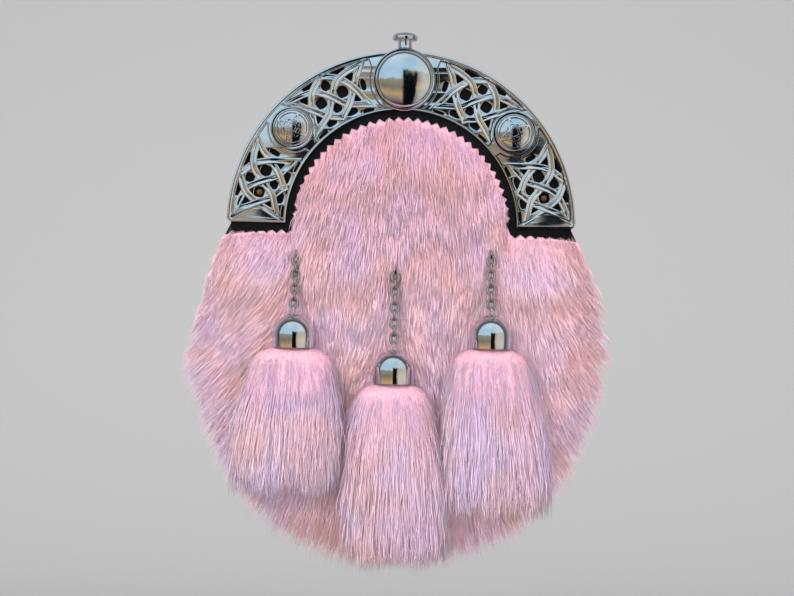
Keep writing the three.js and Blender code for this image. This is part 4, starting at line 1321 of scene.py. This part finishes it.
def hair(name, wide, bend, curl, rings):
    """A three-sided spike of length 1 along +Z that arches along X, wide as a share of it."""
    points, values = [], []
    for i in range(rings):
        t = i / rings
        fat = wide / 2 * (0.7 + 0.5 * math.sin(math.pi * t) - 0.35 * t)
        x, y = bend * math.sin(math.pi * 0.8 * t), curl * t * t
        for k in range(3):
            a = math.tau * k / 3
            points.append((x + fat * math.cos(a), y + fat * math.sin(a), t))
            values.append(t)
    points.append((bend * math.sin(math.pi * 0.8), curl, 1))
    values.append(1.0)
    faces = [(2, 1, 0)]
    for i in range(rings - 1):
        for k in range(3):
            m = (k + 1) % 3
            here, there = 3 * i, 3 * (i + 1)
            faces += [(here + k, here + m, there + m), (here + k, there + m, there + k)]
    last = 3 * (rings - 1)
    faces += [(last + k, last + (k + 1) % 3, len(points) - 1) for k in range(3)]
    piece = guide_mesh(name, points, faces, along=values)
    piece.data.shade_smooth()
    return piece


def hair_set(name, wide, rings):
    """A collection of a few hairs with different bends for the tree to pick from."""
    group = bpy.data.collections.new(name)
    for i, (bend, curl) in enumerate(HAIR_BENDS):
        piece = hair(f"{name}_{i}", wide, bend, curl, rings)
        bpy.context.collection.objects.unlink(piece)
        group.objects.link(piece)
    return group


# %% The tree that grows hair
def hair_tree():
    tree, given = new_tree("hair", {"Density": "Float", "Seed": "Int", "Lift": "Float", "Tuft Size": "Float",
                                    "Tufting": "Float", "Waviness": "Float", "Hairs": "Collection",
                                    "Material": "Material"})

    def vector(operation, a, b=None, scale=None):
        inputs = {0: a}
        if b is not None:
            inputs[1] = b
        if scale is not None:
            inputs["Scale"] = scale
        return add(tree, "ShaderNodeVectorMath", inputs, operation=operation).outputs[0]

    crowd, long = stored(tree, "crowd", "FLOAT"), stored(tree, "long", "FLOAT")
    comb, rise = stored(tree, "comb"), stored(tree, "rise")
    thick = add(tree, "ShaderNodeMath", {0: given["Density"], 1: crowd}, operation="MULTIPLY").outputs[0]
    points = add(tree, "GeometryNodeDistributePointsOnFaces", {"Mesh": given["Geometry"], "Density": thick,
                                                               "Seed": given["Seed"]})
    place = add(tree, "GeometryNodeInputPosition").outputs[0]
    scale = add(tree, "ShaderNodeMath", {0: 1.0, 1: given["Tuft Size"]}, operation="DIVIDE").outputs[0]
    tuft = add(tree, "ShaderNodeTexVoronoi", {"Vector": place, "Scale": scale}, feature="F1")
    towards = vector("SUBTRACT", tuft.outputs["Position"], place)
    pull = add(tree, "ShaderNodeMath", {0: given["Tufting"], 1: long}, operation="DIVIDE").outputs[0]
    ripple = add(tree, "ShaderNodeTexNoise", {"Vector": place, "Scale": per_mm(9), "Detail": 1.0}).outputs["Color"]
    wave = vector("SCALE", vector("SUBTRACT", ripple, (0.5, 0.5, 0.5)), scale=given["Waviness"])
    stray = add(tree, "FunctionNodeRandomValue", {0: (-1, -1, -1), 1: (1, 1, 1), "Seed": 5},
                data_type="FLOAT_VECTOR")
    loose = vector("SCALE", stray.outputs[0], scale=0.06)
    aim = vector("ADD", comb, vector("SCALE", rise, scale=given["Lift"]))
    aim = vector("ADD", aim, vector("SCALE", towards, scale=pull))
    aim = vector("ADD", vector("ADD", aim, wave), loose)
    turn = add(tree, "FunctionNodeAxesToRotation", {0: aim, 1: rise}, primary_axis="Z", secondary_axis="X")
    spin = add(tree, "FunctionNodeRandomValue", {2: -0.9, 3: 0.9, "Seed": 11}, data_type="FLOAT")
    roll = add(tree, "FunctionNodeAxisAngleToRotation", {"Axis": (0, 0, 1), "Angle": spin.outputs[1]})
    both = add(tree, "FunctionNodeRotateRotation", {0: turn.outputs[0], 1: roll.outputs[0]},
               rotation_space="LOCAL")
    vary = add(tree, "FunctionNodeRandomValue", {2: 0.68, 3: 1.12, "Seed": 17}, data_type="FLOAT")
    length = add(tree, "ShaderNodeMath", {0: long, 1: vary.outputs[1]}, operation="MULTIPLY").outputs[0]
    kinds = add(tree, "GeometryNodeCollectionInfo", {"Collection": given["Hairs"], "Separate Children": True,
                                                     "Reset Children": True})
    copies = add(tree, "GeometryNodeInstanceOnPoints", {"Points": points.outputs["Points"],
                                                        "Instance": kinds.outputs[0], "Pick Instance": True,
                                                        "Rotation": both.outputs[0], "Scale": length})
    own = add(tree, "FunctionNodeRandomValue", {2: 0.0, 3: 1.0, "Seed": 23}, data_type="FLOAT").outputs[1]
    toned = add(tree, "GeometryNodeStoreNamedAttribute", {"Geometry": copies.outputs[0], "Name": "tone",
                                                          "Value": own}, data_type="FLOAT", domain="INSTANCE")
    finish_tree(tree, toned.outputs[0], given["Material"])
    return tree


hairs_of = hair_tree()

# %% [markdown]
# ## The fur front
#
# The comb runs down the skin, leans outwards near the edges and parts round each tassel, most of
# all to the left of the left one. A short closed undercoat lies on the hide, so that no leather shows between the hairs,
# and the hair grows through it. The skin is worked in four parts so that no mesh grows too heavy.

# %% Comb and undercoat
UNDERCOAT = 2.2
ROOT_DEPTH = 0.5
PARTINGS = {"left": (46, 14), "centre": (20, 14), "right": (8, 10)}
PARTING_ABOVE = 12
OVER_TEETH = 1.2
TASSELS = {drop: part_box(f"tassel_{drop}") for drop in DROPS}


def edge_share(x, z):
    """Nought in the middle of the pouch and one at its lower outline."""
    across, along = abs(x / HALF_WIDTH), abs((z - MIDDLE) / HALF_HEIGHT)
    return (across ** SQUARENESS + along ** SQUARENESS) ** (1 / SQUARENESS)


def heading(x, z):
    """The way the hair lies, in degrees from straight down towards +X."""
    across = x / HALF_WIDTH
    in_bib = smooth((z + 20) / 25)
    lean = (12 if x < 0 else 7) * across * (1 - in_bib) + 26 * across * in_bib
    for drop, (to_left, to_right) in PARTINGS.items():
        middle = bell_foot[drop]
        away = x - middle.x / MM
        level = (middle.z - LOW) / MM + PARTING_ABOVE
        turn = to_right if away > 0 else -to_left
        near = smooth(abs(away) / 9) * math.exp(-(away / 26) ** 2 - ((z - level) / 26) ** 2)
        lean += turn * near
    outward = math.degrees(math.atan2(x / HALF_WIDTH ** 2, -(z - MIDDLE) / HALF_HEIGHT ** 2))
    outward = clamp(outward, -70, 70)
    shoulder = smooth((-z - 15) / 50) if x < 0 else 0.4 + 0.6 * smooth(-z / 40)
    fan = 0.5 * smooth((edge_share(x, z) - 0.6) / 0.4) * (1 - in_bib) * shoulder
    drift = 8 * noise.noise(Vector((x / 30, z / 40, 3.1)))
    return lean + (outward - lean) * fan + drift


def under_tassel(x, z):
    """One where a tassel covers the skin, nought elsewhere."""
    for low, high in TASSELS.values():
        inside_x = 1 - abs(x * MM - (low[0] + high[0]) / 2) / ((high[0] - low[0]) / 2)
        top, bottom = (high[2] - LOW) / MM, (low[2] - LOW) / MM
        if inside_x > 0.3 and bottom + 16 < z < top - 10:
            return 1.0
    return 0.0


def on_skin(x, z):
    """Whether the fur shows at a place: inside the arch, or below its feet."""
    if z > FACING_LOW + 0.8:
        out = math.hypot(x, max(z, 0))
        return out < TEETH_R + OVER_TEETH * (2 * max(z, 0) / out - 1)
    return edge_share(x, z) < 0.995


def skin_slope(x, z, dx, dz):
    """How much the skin comes forward for each millimetre along a way."""
    return hide_front(x + dx, z + dz) - hide_front(x, z)


def skin_normal(x, z, step=3):
    slope_x, slope_z = skin_slope(x, z, step, 0) / step, skin_slope(x, z, 0, step) / step
    return Vector((-slope_x, -1, -slope_z)).normalized()


def along_skin(x, z, angle, reach=9):
    """The way from a place to one that a hair's length reaches over the skin."""
    dx, dz = reach * math.sin(angle), -reach * math.cos(angle)
    forward = max(0.0, skin_slope(x, z, dx, dz), 2 * skin_slope(x, z, dx / 2, dz / 2))
    return Vector((dx, -forward, dz)).normalized()


EYES = [middle_of(f"staple_{drop}") for drop in DROPS]
COVER_ABOVE = 8
COVER_REACH = 6.3


def behind_chain(x, z):
    """One on the skin behind a chain, between its eye and its bell, and nought away from it."""
    most = 0.0
    for drop, eye in zip(DROPS, EYES):
        foot = bell_foot[drop]
        low, high = (foot.z - LOW) / MM + BELL_TALL, (eye.z - LOW) / MM
        share = clamp((high - z) / (high - low))
        middle = (eye.x + (foot.x - eye.x) * share) / MM
        along = smooth((high - z) / 5) * smooth((z - low + 8) / 5)
        most = max(most, along * math.exp(-((x - middle) / 4.5) ** 4))
    return most


def over_eye(x, z):
    """One just above a chain's eye, where the hair falls forward over it, and nought away from it."""
    aways = [Vector((x - eye.x / MM, 0.6 * (z - (eye.z - LOW) / MM - COVER_ABOVE))) for eye in EYES]
    return max(math.exp(-(away.length / COVER_REACH) ** 2) for away in aways)


def hair_length(x, z, edge):
    """Millimetres of hair, longest along the bottom and in a tuft on the left, shorter over each eye."""
    bottom = smooth((-z - 90) / 40)
    tuft = math.exp(-((x + 82) / 9) ** 2 - ((z + 57) / 9) ** 2)
    short = 5 * (1 - smooth(clear_of_facing(x, z) / 6)) + 4 * edge * (1 - bottom) + 6 * behind_chain(x, z)
    uneven = 2 * noise.noise(Vector((x / 12, z / 12, 0)))
    long = 16 - short + 1.5 * bottom + 4 * tuft + uneven
    for eye in EYES:
        above = z - (eye.z - LOW) / MM
        if -1 < above < long - 3:
            long += (above + 3 - long) * math.exp(-((x - eye.x / MM) / 3.5) ** 4)
    return long


def undercoat_outline():
    """The skin inside the arch and below the facing's feet, as one closed line."""
    inner = TEETH_R + TOOTH + 0.3
    low = FACING_LOW + TOOTH + 0.3
    edge = [(x, z) for x, z in lower_edge(110, 0.5) if z < low - 0.5]
    return arc(inner, -90, 90, 60) + [(inner, low)] + edge + [(-inner, low)]


def undercoat_front(x, z):
    edge = smooth((1 - edge_share(x, z)) / 0.12) if z < 0 else 1
    tufts = 0.7 * noise.noise(Vector((x / 5, z / 9, 1.7)))
    full = hide_front(x, z) + 0.3 + (UNDERCOAT + tufts) * (0.25 + 0.75 * edge)
    teeth = smooth(clear_of_facing(x, z) / 5)
    return teeth * full + (1 - teeth) * (FACING_FRONT - 0.7) - 1.2 * teeth * behind_chain(x, z)


def skin_guide(name, keep, step=2.5):
    """A grid over part of the skin, with what the hair tree needs on its points."""
    top = TEETH_R + TOOTH
    rows, columns = int((top + DROP) / step) + 2, int(2 * HALF_WIDTH / step) + 2
    index, points, faces = {}, [], []
    combs, rises, longs, crowds = [], [], [], []

    def corner(i, k):
        if (i, k) in index:
            return index[i, k]
        x, z = -HALF_WIDTH + k * step, top - i * step
        a = math.radians(heading(x, z))
        edge = smooth((edge_share(x, z) - 0.75) / 0.25) if z < 0 else 0
        out = Vector((x / HALF_WIDTH, 0, (z - MIDDLE) / HALF_HEIGHT))
        combs.append(tuple(along_skin(x, z, a) + skin_normal(x, z) * 0.3 * over_eye(x, z)))
        rises.append(tuple((skin_normal(x, z) + out * 0.7 * edge).normalized()))
        longs.append(hair_length(x, z, edge) * MM)
        by_facing = 1.0 + 1.2 * (1 - smooth(clear_of_facing(x, z) / 5))
        crowds.append(0.22 if under_tassel(x, z) else 0.93 * by_facing)
        points.append(at(x, undercoat_front(x, z) - ROOT_DEPTH, z))
        index[i, k] = len(points) - 1
        return index[i, k]

    for i in range(rows):
        for k in range(columns):
            x, z = -HALF_WIDTH + (k + 0.5) * step, top - (i + 0.5) * step
            if on_skin(x, z) and keep(x, z):
                faces.append((corner(i, k), corner(i, k + 1), corner(i + 1, k + 1), corner(i + 1, k)))
    return guide_mesh(name, points, faces, comb=combs, rise=rises, long=longs, crowd=crowds)


coat = sheet(undercoat_outline(), (0, MIDDLE), [1, 0.98] + [0.96 * (1 - i / 34) for i in range(34)],
             lambda x, z: hide_front(x, z) + 0.25, undercoat_front)
undercoat = solid("fur_undercoat", [coat], undercoat_wool_painted_shade, 80)
declare(undercoat, "fur", "fur_front")

# %% Hair on the skin
PARTS = {
    "fur_bib": lambda x, z: z > -22 and abs(x) < 60,
    "fur_left": lambda x, z: x < -20 and not (z > -22 and abs(x) < 60),
    "fur_middle": lambda x, z: abs(x) <= 20 and z <= -22,
    "fur_right": lambda x, z: x > 20 and not (z > -22 and abs(x) < 60),
}
DENSITY = 2.75e6 * 1
short_hairs = hair_set("short_hair", 0.018, 2)
HAIR = {"Lift": 0.15, "Tuft Size": 6 * MM, "Tufting": 0.2, "Waviness": 0.22, "Hairs": short_hairs,
        "Material": body_fur}

for seed, (name, keep) in enumerate(PARTS.items()):
    piece = grown(name, skin_guide(name + "_guide", keep), hairs_of, {**HAIR, "Density": DENSITY, "Seed": seed})
    declare(piece, "fur")

# %% [markdown]
# ## Tassels
#
# A tassel is a roll of the same skin with its hair outside, pushed into its bell, so the hair
# starts all round the rim, swells over the roll and hangs straight. A closed core has that form,
# and long hairs lie on it in shingles from the rim down.

# %% Tassels
TASSEL_ROWS = ((0.0, 0.42), (0.012, 0.55), (0.03, 0.68), (0.06, 0.77), (0.1, 0.83), (0.17, 0.88), (0.28, 0.93),
               (0.45, 0.97), (0.65, 1.0), (0.8, 0.95), (0.89, 0.8), (0.94, 0.58))
HAIR_OVER = 1.8
HEAD_R = 7.2
TASSEL_DENSITY = 0.92e6 * 1
SHOULDER_LIGHT = 0.25
RAGGED = 5
LONG_HAIR = 27


def tassel_shape(drop):
    """Where a tassel hangs, how far it drops, its half widths and its middle, from its solid."""
    low, high = TASSELS[drop]
    foot = bell_foot[drop]
    tall = (foot[2] - low[2]) / MM
    half_x = (high[0] - low[0]) / 2 / MM
    half_y = (high[1] - low[1]) / 2 / MM
    return {"foot": foot, "tall": tall, "half_x": half_x, "half_y": half_y, "middle_x": (low[0] + high[0]) / 2,
            "middle_y": (low[1] + high[1]) / 2}


def tassel_ring(form, along, wide, steps, shrink):
    """A ring round the tassel at a share of its drop."""
    settle = smooth(along / 0.45)
    x = form["foot"][0] + (form["middle_x"] - form["foot"][0]) * smooth(along / 0.8)
    y = form["foot"][1] + (form["middle_y"] - form["foot"][1]) * settle
    z = form["foot"][2] - along * form["tall"] * MM
    half_x = max(4.0, form["half_x"] * wide - shrink)
    half_y = max(4.0, min(half_x, form["half_y"] * wide - 0.6 * shrink))
    ring = []
    for k in range(steps):
        a = math.tau * k / steps
        ring.append(Vector((x + half_x * MM * math.sin(a), y - half_y * MM * math.cos(a), z)))
    return ring


def tassel(drop, seed):
    form = tassel_shape(drop)
    steps = 40
    rings = [tassel_ring(form, along, wide, steps, HAIR_OVER) for along, wide in TASSEL_ROWS]
    turns = [math.tau * k / steps for k in range(steps)]
    head = [[form["foot"] + Vector((HEAD_R * math.sin(a), -HEAD_R * math.cos(a), up)) * MM for a in turns]
            for up in (6, 1)]
    core = solid(f"core_{drop}", [swept(head + rings)], undercoat_wool_painted_shade, 80)
    points, combs, rises, longs, crowds = [], [], [], [], []
    for i, ring in enumerate(rings):
        before, after = rings[max(0, i - 1)], rings[min(len(rings) - 1, i + 1)]
        for k, place in enumerate(ring):
            down = (after[k] - before[k]).normalized()
            around = ring[(k + 1) % steps] - ring[k - 1]
            out = down.cross(around).normalized()
            centre = sum(ring, Vector()) / steps
            out = out if out.dot(place - centre) > 0 else -out
            down = (down + Vector((0, 0, -0.7))).normalized()
            points.append(place - out * 0.5 * MM)
            combs.append(tuple(down))
            rises.append((out.x, out.y, SHOULDER_LIGHT * out.z))
            along = TASSEL_ROWS[i][0]
            room = (1.0 - along) * form["tall"] + RAGGED * noise.noise(place * per_mm(9))
            longs.append(max(6.5, min(LONG_HAIR, 9 + 70 * along, room)) * MM)
            crowds.append(1.5 if along < 0.1 else 1.02 if along < 0.75 else 0.65)
    faces = []
    for i in range(len(rings) - 1):
        for k in range(steps):
            m = (k + 1) % steps
            faces.append((i * steps + k, i * steps + m, (i + 1) * steps + m, (i + 1) * steps + k))
    guide = guide_mesh(f"guide_{drop}", points, faces, comb=combs, rise=rises, long=longs, crowd=crowds)
    values = {"Density": TASSEL_DENSITY, "Seed": seed, "Lift": 0.06, "Tuft Size": 7 * MM,
              "Tufting": 0.2, "Waviness": 0.15, "Hairs": long_hairs, "Material": tassel_fur}
    strands = grown(f"strands_{drop}", guide, hairs_of, values)
    piece = joined(f"fur_tassel_{drop}", core, strands)
    declare(piece, "tassel_fur", f"tassel_{drop}")


def joined(name, *parts):
    """Several objects as one, with their attributes kept."""
    with bpy.context.temp_override(active_object=parts[0], selected_editable_objects=list(parts)):
        bpy.ops.object.join()
    parts[0].name = name
    parts[0].data.name = name
    return parts[0]


long_hairs = hair_set("long_hair", 0.0115, 3)
for seed, drop in enumerate(DROPS, 31):
    tassel(drop, seed)

# %% [markdown]
# ## The last of the solids
#
# The pinked facing and the small eyes keep their solids from the frame and only need a finish.

# %% Finish the frame's own pieces
FINISHES = {"leather_facing": trim_leather, "staple_left": wire_chrome, "staple_centre": wire_chrome,
            "staple_right": wire_chrome}
for node, material in FINISHES.items():
    frame["nodes"][node].data.materials.clear()
    frame["nodes"][node].data.materials.append(material)

for group in (short_hairs, long_hairs):
    for piece in list(group.objects):
        bpy.data.objects.remove(piece)
    bpy.data.collections.remove(group)
bpy.data.objects.remove(stitch)

total = sum(len(face.vertices) - 2 for piece in bpy.data.objects if piece.type == "MESH"
            for face in piece.data.polygons)
print(f"triangles in all: {total}")
